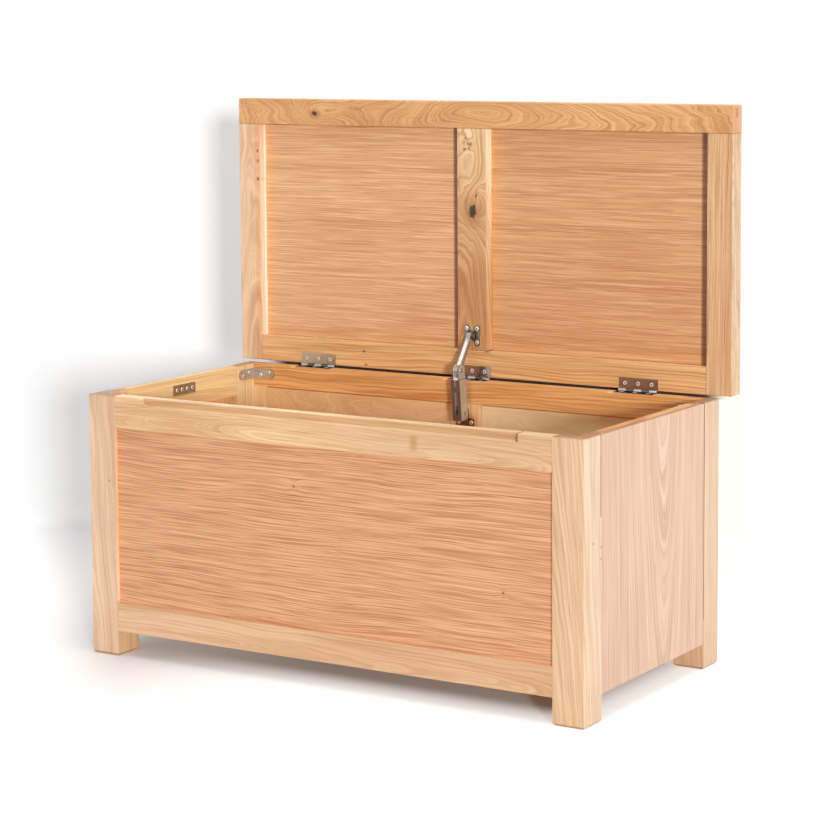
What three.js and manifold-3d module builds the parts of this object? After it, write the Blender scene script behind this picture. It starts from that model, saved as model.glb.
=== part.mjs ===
import * as THREE from 'three';
import { mergeVertices } from 'three/addons/utils/BufferGeometryUtils.js';
import Module from 'manifold-3d';

// Oak blanket chest with a framed, hinged lid, standing open at a right angle.
// Millimetres, +Z up, front towards -Y. The origin is on the floor, in the middle of the open chest's box.

const wasm = await Module();
wasm.setup();

// Carcass
const bodyWidth = 890;
const bodyDepth = 442;
const bodyHeight = 418;
const postWidth = 52;
const boardThickness = 22;
const rearLegThickness = 12;
const footHeight = 41;
const footBevel = 4;
const edgeEase = 1.5;
const topRailHeight = 51;
const sideRailHeight = 49;
const backRailHeight = 38;
const bottomRailHeight = 45;
const glueGap = 0.3;
const cutOverrun = 5;

// Joinery
const grooveDepth = 8;
const tenonLength = 12;
const tenonThickness = 6;
const tenonShoulder = 11;

// Panels and floor
const frontPanelThickness = 9;
const frontPanelRecess = 6.5;
const sidePanelThickness = 5.5;
const sidePanelInset = 0.5;
const sidePanelLap = 20;
const sidePanelDrop = 1;
const sideGrooveWidth = 1.5;
const sideGrooveDepth = 5;
const backPanelThickness = 5;
const muntinWidth = 54;
const backMuntinThickness = 19;
const backMuntinSetback = 1;
const floorThickness = 8;
const cleatSize = 18;
const cleatLift = 3;

// Finger pull cut into the front edge of the top rail
const pullLength = 672;
const pullDepth = 6;
const pullHeight = 12.5;
const pullCornerRadius = 10;

// Hinges
const hingeLength = 68;
const hingeInset = 141;
const leafWidth = 20.5;
const leafThickness = 1.5;
const leafGap = 0.3;
const knuckleRadius = 3.25;
const knuckleCount = 5;
const knuckleGap = 0.3;
const hingePinRadius = 1.5;
const pinClearance = 0.3;
const leafScrewSpacing = 23.5;
const screwHoleRadius = 2.1;
const screwSinkRadius = 3.9;
const screwSinkDepth = 1.3;
const hingeAxisBehindBack = 1.25;

// Lid
const lidWidth = 930;
const lidDepth = 450;
const lidThickness = 32;
const lidFrameWidth = 43;
const lidEdgeBevel = 1.5;
const lidPanelRecess = 18;
const lidPanelInset = 0.5;
const lidPanelGap = 0.6;
const lidTongueThickness = 6;
const lidTongueSetback = 3;
const lidClosedGap = 1.5;
const lidRearSetback = 2.8;

// Corner braces and side plates
const braceLeg = 44;
const braceWidth = 17;
const braceThickness = 2;
const braceDrop = 16.3;
const braceNearHole = 16;
const braceFarHole = 33;
const braceHoleStagger = 2.4;
const plateLength = 59;
const plateWidth = 17;
const plateThickness = 1.6;
const plateDrop = 19;
const plateHoleSpacing = 14;
const plateHoles = 4;

// Lid stay, a parallelogram: lid axis, lid bracket pin, elbow pin and foot pin
const bracketPinUp = 70.85;
const bracketPinOut = 7.5;
const elbowForward = 38;
const elbowDown = 52.6;
const stayGap = 0.3;
const sheetThickness = 1.5;
const housingWidth = 17;
const housingFront = 11.5;
const housingBack = 9.5;
const housingTail = 11;
const housingTop = 56.5;
const housingTailBevel = 3;
const housingLip = 3;
const housingBackDrop = 5;
const lipStart = 14;
const earRadius = 9.5;
const earRoot = 12;
const earBoss = 5;
const upperSlotLength = 11;
const slotWidth = 4;
const lowerSlotStart = -1;
const lowerSlotLength = 38;
const camBase = 11;
const camLift = 5;
const camTaper = 0.35;
const camOverrun = 0.25;
const camWebReach = 8;
const hubRadius = 8;
const armWidth = 8;
const armDepth = 8;
const armEyeRadius = 5.5;
const armPocketStart = 12;
const plungerHeadThickness = 3;
const stemRadius = 2;
const seatStart = 7.5;
const seatThickness = 2;
const stemEnd = 8;
const springRadius = 3.4;
const springWire = 1.2;
const springTurns = 9;
const stayPinRadius = 2.2;
const stayPinHeadRadius = 3.6;
const stayPinHead = 1;
const bracketEarThickness = 1.5;
const bracketTabWidth = 8.6;
const bracketHeight = 35;
const bracketNotch = 9;
const bracketHoleSpacing = 23;
const footPlateWidth = 34;
const footPlateHeight = 24;
const footPlateDrop = 11;
const footHoleDrop = 17;
const footHoleSpacing = 12;
const footEarRadius = 5.5;

// Facets
const roundSides = 20;
const springSides = 5;
const springSteps = 8;
const weldTolerance = 1e-4;
const holeSides = 12;
const cornerSteps = 6;
const camSteps = 14;

// Materials
const paint = (color, roughness, metalness) =>
  new THREE.MeshStandardMaterial({ color, roughness, metalness });
const oak = () => paint(0xdcb07c, 0.5, 0);
const veneer = () => paint(0xe2ad84, 0.5, 0);
const plywood = () => paint(0xe6c8a0, 0.6, 0);
const nickel = () => paint(0xa8a49c, 0.35, 1);
const springSteel = () => paint(0x8c8c8a, 0.3, 1);

// Solids
const toManifold = (geometry) => {
  const plain = geometry.index ? geometry.toNonIndexed() : geometry.clone();
  for (const name of Object.keys(plain.attributes)) {
    if (name !== 'position') plain.deleteAttribute(name);
  }
  const merged = mergeVertices(plain, weldTolerance);
  return new wasm.Manifold(new wasm.Mesh({
    numProp: 3,
    vertProperties: new Float32Array(merged.attributes.position.array),
    triVerts: new Uint32Array(merged.index.array),
  }));
};

const toGeometry = (solid) => {
  const { vertProperties, triVerts } = solid.getMesh();
  const geometry = new THREE.BufferGeometry();
  geometry.setAttribute('position', new THREE.BufferAttribute(vertProperties, 3));
  geometry.setIndex(new THREE.BufferAttribute(triVerts, 1));
  geometry.computeVertexNormals();
  return geometry;
};

const box = (x0, x1, y0, y1, z0, z1) => {
  const [xa, xb] = [Math.min(x0, x1), Math.max(x0, x1)];
  const [ya, yb] = [Math.min(y0, y1), Math.max(y0, y1)];
  const [za, zb] = [Math.min(z0, z1), Math.max(z0, z1)];
  return { x: [xa, xb], y: [ya, yb], z: [za, zb] };
};

const grow = ({ x, y, z }, gap) =>
  box(x[0] - gap, x[1] + gap, y[0] - gap, y[1] + gap, z[0] - gap, z[1] + gap);

const block = ({ x, y, z }) => {
  const geometry = new THREE.BoxGeometry(x[1] - x[0], y[1] - y[0], z[1] - z[0]);
  geometry.translate((x[0] + x[1]) / 2, (y[0] + y[1]) / 2, (z[0] + z[1]) / 2);
  return toManifold(geometry);
};

const unite = (solids) => solids.reduce((sum, solid) => sum.add(solid));
const cutAll = (solid, cutters) => cutters.reduce((left, cutter) => left.subtract(cutter), solid);

// Axes that an outline's first axis, second axis and thickness run along
const alongX = new THREE.Matrix4().makeBasis(
  new THREE.Vector3(0, 1, 0), new THREE.Vector3(0, 0, 1), new THREE.Vector3(1, 0, 0));
const alongY = new THREE.Matrix4().makeBasis(
  new THREE.Vector3(0, 0, 1), new THREE.Vector3(1, 0, 0), new THREE.Vector3(0, 1, 0));
const alongZ = new THREE.Matrix4();

const slab = (outline, from, to, axes) => {
  const shape = outline instanceof THREE.Shape ? outline : new THREE.Shape(outline);
  const geometry = new THREE.ExtrudeGeometry(shape, {
    depth: to - from, bevelEnabled: false, curveSegments: cornerSteps,
  });
  geometry.translate(0, 0, from);
  return toManifold(geometry.applyMatrix4(axes));
};

const point = (a, b) => new THREE.Vector2(a, b);

const arc = (centre, radius, start, end, steps) => Array.from({ length: steps + 1 }, (_, i) => {
  const angle = start + (end - start) * i / steps;
  return point(centre.x + radius * Math.cos(angle), centre.y + radius * Math.sin(angle));
});

const disc = (centre, radius, sides = roundSides) =>
  arc(centre, radius, 0, 2 * Math.PI * (sides - 1) / sides, sides - 1);

const rod = (centre, radius, from, to, axes, sides = roundSides) =>
  slab(disc(centre, radius, sides), from, to, axes);

// A countersunk screw hole through a plate whose open face looks along the outline axis
const screwHole = (a, b, openFace, backFace, axes) => {
  const sink = Math.sign(backFace - openFace);
  const profile = [
    point(0, 0), point(screwSinkRadius, 0), point(screwHoleRadius, screwSinkDepth),
    point(screwHoleRadius, Math.abs(backFace - openFace) + cutOverrun),
    point(0, Math.abs(backFace - openFace) + cutOverrun),
  ];
  const lip = [point(0, -cutOverrun), point(screwSinkRadius, -cutOverrun), ...profile.slice(1)];
  const geometry = new THREE.LatheGeometry([...lip, lip[0]], holeSides);
  geometry.rotateX(sink * Math.PI / 2);
  geometry.translate(a, b, openFace);
  return toManifold(geometry.applyMatrix4(axes));
};

// A box whose twelve edges are bevelled
const octagon = ([a0, a1], [b0, b1], cut) => [
  point(a0 + cut, b0), point(a1 - cut, b0), point(a1, b0 + cut), point(a1, b1 - cut),
  point(a1 - cut, b1), point(a0 + cut, b1), point(a0, b1 - cut), point(a0, b0 + cut),
];

const easedBox = ({ x, y, z }, cut) => slab(octagon(y, z, cut), ...x, alongX)
  .intersect(slab(octagon(z, x, cut), ...y, alongY))
  .intersect(slab(octagon(x, y, cut), ...z, alongZ));

const moved = (solid, matrix) => toManifold(toGeometry(solid).applyMatrix4(matrix));
const mirrored = (solid, x, y, z) => {
  const geometry = toGeometry(solid).applyMatrix4(new THREE.Matrix4().makeScale(x, y, z));
  if (x * y * z < 0) {
    const corners = geometry.index.array;
    for (let i = 0; i < corners.length; i += 3) {
      [corners[i + 1], corners[i + 2]] = [corners[i + 2], corners[i + 1]];
    }
  }
  return toManifold(geometry);
};

const chest = new THREE.Group();
chest.name = 'blanket_chest';

const place = (parent, name, solid, material) => {
  const mesh = new THREE.Mesh(toGeometry(solid), material);
  mesh.name = name;
  parent.add(mesh);
};

// Places worked out from the sizes
const halfWidth = bodyWidth / 2;
const halfDepth = bodyDepth / 2;
const innerX = halfWidth - boardThickness;
const innerY = halfDepth - boardThickness;
const frontOpeningX = halfWidth - postWidth;
const bottomRailTop = footHeight + bottomRailHeight;
const topRailBottom = bodyHeight - topRailHeight;
const sideSkin = halfWidth - sidePanelInset - sidePanelThickness;
const sideRailEnd = halfDepth - postWidth - sidePanelLap;
const hingeY = halfDepth + hingeAxisBehindBack;
const hingeZ = bodyHeight + lidClosedGap / 2;
const sides = [['left', -1], ['right', 1]];
const ends = [['front', -1], ['back', 1]];

const carcass = new THREE.Group();
chest.add(carcass);
const easedCarcass = easedBox(
  box(-halfWidth, halfWidth, -halfDepth, halfDepth, -cutOverrun, bodyHeight), edgeEase);
const sidePanelEnd = halfDepth - postWidth - glueGap;
const sideGroove = (side) => block(box(side * (sideSkin - sideGrooveWidth), side * sideSkin,
  -sidePanelEnd, sidePanelEnd, bodyHeight - sideGrooveDepth, bodyHeight + cutOverrun));

// Panels held in grooves
const frontPanel = box(
  -frontOpeningX - grooveDepth, frontOpeningX + grooveDepth,
  -halfDepth + frontPanelRecess, -halfDepth + frontPanelRecess + frontPanelThickness,
  bottomRailTop - grooveDepth, topRailBottom + grooveDepth);
const backPanelY = halfDepth - rearLegThickness;
const backPanel = (side) => box(
  side * (muntinWidth / 2 - grooveDepth), side * (frontOpeningX + grooveDepth),
  backPanelY, backPanelY + backPanelThickness,
  bottomRailTop - grooveDepth, bodyHeight - backRailHeight + grooveDepth);

// Tenons on the rails' ends, which also cut the mortises
const frontTenonY = -halfDepth + boardThickness / 2;
const frontTenon = (side, z0, z1) => box(
  side * (frontOpeningX - tenonLength), side * (frontOpeningX + tenonLength),
  frontTenonY - tenonThickness / 2, frontTenonY + tenonThickness / 2,
  z0 + tenonShoulder, z1 - tenonShoulder);
const sideTenonX = (sideSkin + innerX) / 2;
const sideTenon = (side, end, z0, z1) => box(
  side * (sideTenonX - tenonThickness / 2), side * (sideTenonX + tenonThickness / 2),
  end * (sideRailEnd - tenonLength), end * (sideRailEnd + tenonLength),
  z0 + tenonShoulder, z1 - tenonShoulder);

const railHeights = {
  frontTop: [topRailBottom, bodyHeight],
  sideTop: [bodyHeight - sideRailHeight, bodyHeight],
  bottom: [footHeight, bottomRailTop],
};

// Posts, L-shaped above a square foot with bevelled floor edges
const bevelledPrism = (x0, x1, y0, y1, height, bevel) => {
  const rings = [[bevel, 0], [0, bevel], [0, height]].map(([inset, z]) => [
    [x0 + inset, y0 + inset, z], [x1 - inset, y0 + inset, z],
    [x1 - inset, y1 - inset, z], [x0 + inset, y1 - inset, z],
  ]);
  const corners = rings.flat();
  const faces = [[0, 2, 1], [0, 3, 2]];
  for (let ring = 0; ring < rings.length - 1; ring += 1) {
    for (let i = 0; i < 4; i += 1) {
      const [a, b] = [ring * 4 + i, ring * 4 + (i + 1) % 4];
      faces.push([a, b, b + 4], [a, b + 4, a + 4]);
    }
  }
  const top = (rings.length - 1) * 4;
  faces.push([top, top + 1, top + 2], [top, top + 2, top + 3]);
  const geometry = new THREE.BufferGeometry();
  geometry.setAttribute('position', new THREE.Float32BufferAttribute(corners.flat(), 3));
  geometry.setIndex(faces.flat());
  return toManifold(geometry);
};

const post = (side, end) => {
  const legThickness = end < 0 ? boardThickness : rearLegThickness;
  const outerX = side * halfWidth;
  const outerY = end * halfDepth;
  const innerPostX = side * frontOpeningX;
  const innerPostY = end * (halfDepth - postWidth);
  const square = box(outerX, innerPostX, outerY, innerPostY, 0, bodyHeight);
  const legs = unite([
    block(box(outerX, innerPostX, outerY, end * (halfDepth - legThickness), 0, bodyHeight)),
    block(box(outerX, side * innerX, outerY, innerPostY, 0, bodyHeight)),
    block(box(outerX, innerPostX, outerY, innerPostY, 0, footHeight - glueGap)),
  ]);
  const bevelled = legs.intersect(bevelledPrism(...square.x, ...square.y, bodyHeight, footBevel));
  const tongue = block(box(
    side * (sideSkin - glueGap), side * innerX,
    end * innerY, end * sideRailEnd, footHeight, bodyHeight));
  const cutters = [frontPanel, backPanel(side),
    frontTenon(side, ...railHeights.frontTop), frontTenon(side, ...railHeights.bottom),
    sideTenon(side, end, ...railHeights.sideTop), sideTenon(side, end, ...railHeights.bottom)];
  const solids = [...cutters.map((cutter) => block(grow(cutter, glueGap))), sideGroove(side)];
  return cutAll(bevelled.add(tongue), solids).intersect(easedCarcass);
};

for (const [endName, end] of ends) {
  for (const [sideName, side] of sides) {
    place(carcass, `${endName}_${sideName}_post`, post(side, end), oak());
  }
}

// Front rails, the upper one with a long finger pull scooped from its front edge
const fingerPull = () => {
  const wall = -halfDepth + pullDepth;
  const floor = bodyHeight - pullHeight;
  const scoop = [
    point(-halfDepth - cutOverrun, bodyHeight + cutOverrun),
    point(-halfDepth - cutOverrun, floor),
    ...arc(point(-halfDepth, floor + pullDepth), pullDepth, -Math.PI / 2, 0, cornerSteps),
    point(wall, bodyHeight + cutOverrun),
  ];
  const half = pullLength / 2;
  const round = pullCornerRadius;
  const length = [
    ...arc(point(floor + round, -half + round), round, Math.PI * 3 / 2, Math.PI, cornerSteps),
    ...arc(point(floor + round, half - round), round, Math.PI, Math.PI / 2, cornerSteps),
    point(bodyHeight + cutOverrun, half), point(bodyHeight + cutOverrun, -half),
  ];
  return slab(scoop, -half - cutOverrun, half + cutOverrun, alongX)
    .intersect(slab(length.reverse(), -halfDepth - cutOverrun, wall + cutOverrun, alongY));
};

const frontRail = ([z0, z1]) => {
  const end = frontOpeningX - glueGap;
  const rail = block(box(-end, end, -halfDepth, -innerY, z0, z1));
  const tenons = sides.map(([, side]) => block(frontTenon(side, z0, z1)));
  return unite([rail, ...tenons]).subtract(block(grow(frontPanel, glueGap)));
};

place(carcass, 'front_top_rail',
  frontRail(railHeights.frontTop).subtract(fingerPull()).intersect(easedCarcass), oak());
place(carcass, 'front_bottom_rail', frontRail(railHeights.bottom), oak());
place(carcass, 'front_panel', block(frontPanel), veneer());

// Sides: two rails between the posts, covered by one veneered panel let flush into the posts
const sideRail = (side, [z0, z1]) => {
  const end = sideRailEnd - glueGap;
  const rail = block(box(side * (sideSkin - glueGap), side * innerX, -end, end, z0, z1));
  return unite([rail, ...ends.map(([, way]) => block(sideTenon(side, way, z0, z1)))]);
};

for (const [name, side] of sides) {
  place(carcass, `${name}_side_top_rail`,
    sideRail(side, railHeights.sideTop).subtract(sideGroove(side)), oak());
  place(carcass, `${name}_side_bottom_rail`, sideRail(side, railHeights.bottom), oak());
  place(carcass, `${name}_side_panel`, block(box(
    side * sideSkin, side * (halfWidth - sidePanelInset), -sidePanelEnd, sidePanelEnd,
    footHeight, bodyHeight - sidePanelDrop)), veneer());
}

// Hinges: sunk places for the leaves, knuckles taking turns along the pin
const hingeSpread = halfWidth - hingeInset;
const hingeCentres = [['left', -hingeSpread], ['middle', 0], ['right', hingeSpread]];
const knuckleReach = knuckleRadius + knuckleGap;
const leafFace = leafGap / 2;
const knuckleLength = hingeLength / knuckleCount;

const leafMortise = (centre) => {
  const half = hingeLength / 2 + glueGap;
  const depth = leafFace + leafThickness + glueGap;
  return block(box(centre - half, centre + half,
    hingeY - leafWidth - glueGap, hingeY + cutOverrun, hingeZ - depth, hingeZ + cutOverrun))
    .add(rod(point(hingeY, hingeZ), knuckleReach, centre - half, centre + half, alongX));
};

const leaf = (centre, firstKnuckle) => {
  const half = hingeLength / 2;
  const plate = block(box(centre - half, centre + half, -leafWidth, -knuckleReach,
    -leafFace - leafThickness, -leafFace));
  const parts = [plate];
  for (let i = firstKnuckle; i < knuckleCount; i += 2) {
    const from = centre - half + i * knuckleLength + knuckleGap / 2;
    const to = from + knuckleLength - knuckleGap;
    parts.push(rod(point(0, 0), knuckleRadius, from, to, alongX));
    parts.push(block(box(from, to, -knuckleReach - knuckleGap, 0,
      -leafFace - leafThickness, -leafFace)));
  }
  const bore = rod(point(0, 0), hingePinRadius + pinClearance,
    centre - half - cutOverrun, centre + half + cutOverrun, alongX, holeSides);
  const holeY = -(leafWidth + knuckleReach) / 2;
  const holes = [-leafScrewSpacing, 0, leafScrewSpacing].map((offset) =>
    screwHole(centre + offset, holeY, -leafFace, -leafFace - leafThickness, alongZ));
  return cutAll(unite(parts), [bore, ...holes]);
};

const hingePin = (centre) => rod(point(0, 0), hingePinRadius,
  centre - hingeLength / 2, centre + hingeLength / 2, alongX, holeSides);

// Back: rails notched over the posts' thin rear legs, with a muntin and two plywood panels
const rearLegNotch = (side) => block(grow(box(
  side * frontOpeningX, side * (halfWidth + cutOverrun),
  backPanelY, halfDepth + cutOverrun, 0, bodyHeight + cutOverrun), glueGap));

const backRail = (z0, z1) => {
  const end = innerX - glueGap;
  const cutters = sides.flatMap(([, side]) => [rearLegNotch(side), block(grow(backPanel(side), glueGap))]);
  return cutAll(block(box(-end, end, innerY, halfDepth, z0, z1)), cutters);
};

const backTopRailBottom = bodyHeight - backRailHeight;
const mortises = hingeCentres.map(([, centre]) => leafMortise(centre));
place(carcass, 'back_top_rail',
  cutAll(backRail(backTopRailBottom, bodyHeight), mortises).intersect(easedCarcass), oak());
place(carcass, 'back_bottom_rail', backRail(...railHeights.bottom), oak());

const muntinFront = innerY + backMuntinSetback;
const backMuntin = block(box(-muntinWidth / 2, muntinWidth / 2,
  muntinFront, muntinFront + backMuntinThickness,
  bottomRailTop + glueGap, backTopRailBottom - glueGap));
place(carcass, 'back_muntin',
  cutAll(backMuntin, sides.map(([, side]) => block(grow(backPanel(side), glueGap)))), oak());
for (const [name, side] of sides) {
  place(carcass, `back_panel_${name}`, block(backPanel(side)), plywood());
}

// Floor panel on two cleats
const cleatZ = footHeight + cleatLift;
const floorZ = cleatZ + cleatSize + glueGap;
place(carcass, 'floor_panel', block(box(-innerX + glueGap, innerX - glueGap,
  -innerY + glueGap, innerY - glueGap, floorZ, floorZ + floorThickness)), plywood());
for (const [name, end] of ends) {
  place(carcass, `floor_cleat_${name}`, block(box(-frontOpeningX, frontOpeningX,
    end * (innerY - glueGap), end * (innerY - glueGap - cleatSize),
    cleatZ, cleatZ + cleatSize)), oak());
}

// Steel corner braces inside the top corners, with staggered screw holes
const braceOutline = (reach) => {
  const half = braceWidth / 2;
  return [point(0, -half), ...arc(point(reach - half, 0), half, -Math.PI / 2, Math.PI / 2, cornerSteps),
    point(0, half)];
};

const cornerBrace = () => {
  const flat = slab(braceOutline(braceLeg), 0, braceThickness, alongZ);
  const holes = [[braceNearHole, braceHoleStagger], [braceFarHole, -braceHoleStagger]]
    .map(([along, across]) => screwHole(along, across, braceThickness, 0, alongZ));
  return cutAll(flat, holes);
};

const legOnX = new THREE.Matrix4().makeBasis(
  new THREE.Vector3(1, 0, 0), new THREE.Vector3(0, 0, 1), new THREE.Vector3(0, -1, 0));
const legOnY = new THREE.Matrix4().makeBasis(
  new THREE.Vector3(0, -1, 0), new THREE.Vector3(0, 0, 1), new THREE.Vector3(-1, 0, 0));

// The brace for a corner whose walls look towards +X and -Y, as at the back left
const braceAngle = () => {
  const leg = cornerBrace();
  const wallLeg = mirrored(moved(leg, legOnY), -1, 1, 1);
  return mirrored(moved(leg, legOnX), 1, 1, -1).add(wallLeg);
};

for (const [endName, end] of ends) {
  for (const [sideName, side] of sides) {
    const solid = mirrored(braceAngle(), -side, end, 1);
    const brace = moved(solid, new THREE.Matrix4().makeTranslation(
      side * (innerX - glueGap), end * (innerY - glueGap), bodyHeight - braceDrop));
    place(carcass, `corner_brace_${endName}_${sideName}`, brace, nickel());
  }
}

// Flat plates on the side rails
for (const [name, side] of sides) {
  const face = side * (innerX - glueGap - plateThickness);
  const back = side * (innerX - glueGap);
  const z = bodyHeight - plateDrop;
  const plate = block(box(face, back, -plateLength / 2, plateLength / 2,
    z - plateWidth / 2, z + plateWidth / 2));
  const holes = Array.from({ length: plateHoles }, (_, i) =>
    screwHole((i - (plateHoles - 1) / 2) * plateHoleSpacing, z, face, back, alongX));
  place(carcass, `side_plate_${name}`, cutAll(plate, holes), nickel());
}

// Fixed leaves and pins turn about the hinge line, as do the lid's parts
const hingeLine = new THREE.Group();
hingeLine.position.set(0, hingeY, hingeZ);
chest.add(hingeLine);
for (const [name, centre] of hingeCentres) {
  place(hingeLine, `hinge_${name}_fixed_leaf`, leaf(centre, 1), nickel());
  place(hingeLine, `hinge_${name}_pin`, hingePin(centre), nickel());
}

// The lid is drawn shut, measured from the hinge line, and turned up a quarter
const lid = new THREE.Group();
lid.position.copy(hingeLine.position);
lid.rotation.x = -Math.PI / 2;
chest.add(lid);

const lidBack = -lidRearSetback;
const lidFront = lidBack - lidDepth;
const lidUnder = lidClosedGap / 2;
const lidTop = lidUnder + lidThickness;
const lidHalf = lidWidth / 2;
const lidInnerX = lidHalf - lidFrameWidth;

const lidPanelBody = (side) => box(
  side * (muntinWidth / 2 + lidPanelGap), side * (lidInnerX - lidPanelGap),
  lidBack - lidFrameWidth - lidPanelGap, lidFront + lidFrameWidth + lidPanelGap,
  lidUnder + lidPanelRecess, lidTop - lidPanelInset);
const lidTongue = (side) => box(
  side * (muntinWidth / 2 - grooveDepth), side * (lidInnerX + grooveDepth),
  lidBack - lidFrameWidth + grooveDepth, lidFront + lidFrameWidth - grooveDepth,
  lidUnder + lidPanelRecess + lidTongueSetback,
  lidUnder + lidPanelRecess + lidTongueSetback + lidTongueThickness);
const lidGrooves = sides.map(([, side]) => block(grow(lidTongue(side), glueGap)));

const lidBlank = easedBox(
  box(-lidHalf, lidHalf, lidFront, lidBack, lidUnder, lidTop), lidEdgeBevel);
const lidBoard = (x0, x1, y0, y1) => {
  const board = block(box(x0, x1, y0, y1, lidUnder - cutOverrun, lidTop + cutOverrun));
  return cutAll(board.intersect(lidBlank), lidGrooves);
};

const lidLeafMortise = (centre) => {
  const half = hingeLength / 2 + glueGap;
  return block(box(centre - half, centre + half, -leafWidth - glueGap, cutOverrun,
    -cutOverrun, leafFace + leafThickness + glueGap));
};

const backJoint = lidBack - lidFrameWidth;
const frontJoint = lidFront + lidFrameWidth;
place(lid, 'lid_front_rail', lidBoard(-lidHalf, lidHalf, lidFront, frontJoint), oak());
for (const [name, side] of sides) {
  place(lid, `lid_${name}_stile`, lidBoard(side * lidHalf, side * lidInnerX,
    lidBack, frontJoint + glueGap), oak());
  place(lid, `lid_panel_${name}`, block(lidPanelBody(side)).add(block(lidTongue(side))), veneer());
}
place(lid, 'lid_back_rail', cutAll(
  lidBoard(-lidInnerX + glueGap, lidInnerX - glueGap, lidBack, backJoint),
  hingeCentres.map(([, centre]) => lidLeafMortise(centre))), oak());
place(lid, 'lid_muntin', lidBoard(-muntinWidth / 2, muntinWidth / 2,
  backJoint - glueGap, frontJoint + glueGap), oak());
for (const [name, centre] of hingeCentres) {
  place(lid, `hinge_${name}_lid_leaf`, mirrored(leaf(centre, 0), 1, 1, -1), nickel());
}

// Lid stay: its four pivots as (y, z) points in the open chest
const lidAxis = point(hingeY, hingeZ);
const bracketPin = point(hingeY + lidUnder - bracketPinOut, hingeZ + bracketPinUp);
const elbowPin = point(bracketPin.x - elbowForward, bracketPin.y - elbowDown);
const footPin = point(lidAxis.x - elbowForward, lidAxis.y - elbowDown);
const housingSpan = elbowPin.distanceTo(footPin);
const housingLean = Math.atan2(footPin.x - elbowPin.x, elbowPin.y - footPin.y);
const halfHousing = housingWidth / 2;
const insideHousing = halfHousing - sheetThickness;
const halfArm = armWidth / 2;
const earInside = halfArm + stayGap;
const earOutside = earInside + sheetThickness;
const pinHole = stayPinRadius + pinClearance;

// Bracket on the lid's muntin, drawn shut like the lid: four screw tabs and two ears
const lidBracketPin = point(-bracketPinUp, lidUnder - bracketPinOut);
const lidBracket = () => {
  const face = lidUnder - sheetThickness - glueGap;
  const back = lidUnder - glueGap;
  const inner = halfArm + stayGap;
  const outer = inner + bracketEarThickness + bracketTabWidth;
  const half = bracketHeight / 2;
  const tab = (side) => {
    const [from, to] = [side * inner, side * outer];
    const middle = (from + to) / 2;
    const round = bracketTabWidth / 2;
    return unite([
      block(box(from, to, lidBracketPin.x - half + round, lidBracketPin.x + half - round, face, back)),
      ...[-1, 1].map((way) => rod(point(middle + side * bracketEarThickness / 2,
        lidBracketPin.x + way * (half - round)), round, face, back, alongZ)),
    ]);
  };
  const bridge = block(box(-inner, inner, lidBracketPin.x - bracketNotch,
    lidBracketPin.x + bracketNotch, face, back));
  const ear = (side) => slab([
    ...arc(lidBracketPin, armEyeRadius, -Math.PI, 0, roundSides / 2),
    point(lidBracketPin.x + bracketNotch, face), point(lidBracketPin.x + bracketNotch, back),
    point(lidBracketPin.x - bracketNotch, back), point(lidBracketPin.x - bracketNotch, face),
  ], Math.min(side * inner, side * (inner + bracketEarThickness)),
  Math.max(side * inner, side * (inner + bracketEarThickness)), alongX);
  const holes = sides.flatMap(([, side]) => [-1, 1].map((way) => screwHole(
    side * (outer - bracketTabWidth / 2), lidBracketPin.x + way * bracketHoleSpacing / 2,
    face, back, alongZ)));
  const bore = rod(lidBracketPin, pinHole, -outer, outer, alongX, holeSides);
  return cutAll(unite([tab(-1), tab(1), bridge, ear(-1), ear(1)]), [...holes, bore]);
};

const headedPin = (centre, reach) => unite([
  rod(centre, stayPinRadius, -reach, reach, alongX, holeSides),
  ...[-1, 1].map((way) => rod(centre, stayPinHeadRadius,
    Math.min(way * reach, way * (reach + stayPinHead)),
    Math.max(way * reach, way * (reach + stayPinHead)), alongX, holeSides)),
]);

place(lid, 'stay_lid_bracket', lidBracket(), nickel());
place(lid, 'stay_lid_pin',
  headedPin(lidBracketPin, halfArm + stayGap + bracketEarThickness + pinClearance), nickel());

// Arm: a channel whose lower end is a cam. The cam's edge is an involute, so that its flat
// follower sinks at a steady rate as the housing swings round the elbow.
const camRate = camLift / (Math.PI / 2);
const turned = (vector, angle) => vector.clone().rotateAround(point(0, 0), angle);
const toFoot = footPin.clone().sub(elbowPin).normalize();
const toBracket = bracketPin.clone().sub(elbowPin);
const armLength = toBracket.length();
const armWay = toBracket.clone().normalize();
const armSide = turned(armWay, Math.PI / 2);

const camEdge = Array.from({ length: camSteps + 1 }, (_, i) => {
  const angle = -camTaper + (Math.PI / 2 + camTaper + camOverrun) * i / camSteps;
  const reach = camBase + camRate * angle;
  return turned(toFoot, angle).multiplyScalar(reach)
    .add(turned(toFoot, angle + Math.PI / 2).multiplyScalar(camRate));
});

const alongArm = (length, across) =>
  armWay.clone().multiplyScalar(length).add(armSide.clone().multiplyScalar(across));

const stayArm = () => {
  const half = armDepth / 2;
  const cam = slab([...camEdge, alongArm(camWebReach, -half), alongArm(camWebReach, half),
    ...arc(point(0, 0), hubRadius, armSide.angle(), toFoot.angle() - camTaper, cornerSteps)],
  -halfArm, halfArm, alongX);
  const bar = slab([alongArm(0, -half), alongArm(armLength, -half), alongArm(armLength, half),
    alongArm(0, half)], -halfArm, halfArm, alongX);
  const eye = rod(toBracket, armEyeRadius, -halfArm, halfArm, alongX);
  const pocketEnd = armLength - armEyeRadius - sheetThickness;
  const pocket = slab([alongArm(armPocketStart, -half + sheetThickness),
    alongArm(pocketEnd, -half + sheetThickness),
    alongArm(pocketEnd, half + cutOverrun), alongArm(armPocketStart, half + cutOverrun)],
  -halfArm + sheetThickness, halfArm - sheetThickness, alongX);
  const bores = [point(0, 0), toBracket].map((centre) =>
    rod(centre, pinHole, -housingWidth, housingWidth, alongX, holeSides));
  return cutAll(unite([cam, bar, eye]), [pocket, ...bores]);
};

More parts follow.
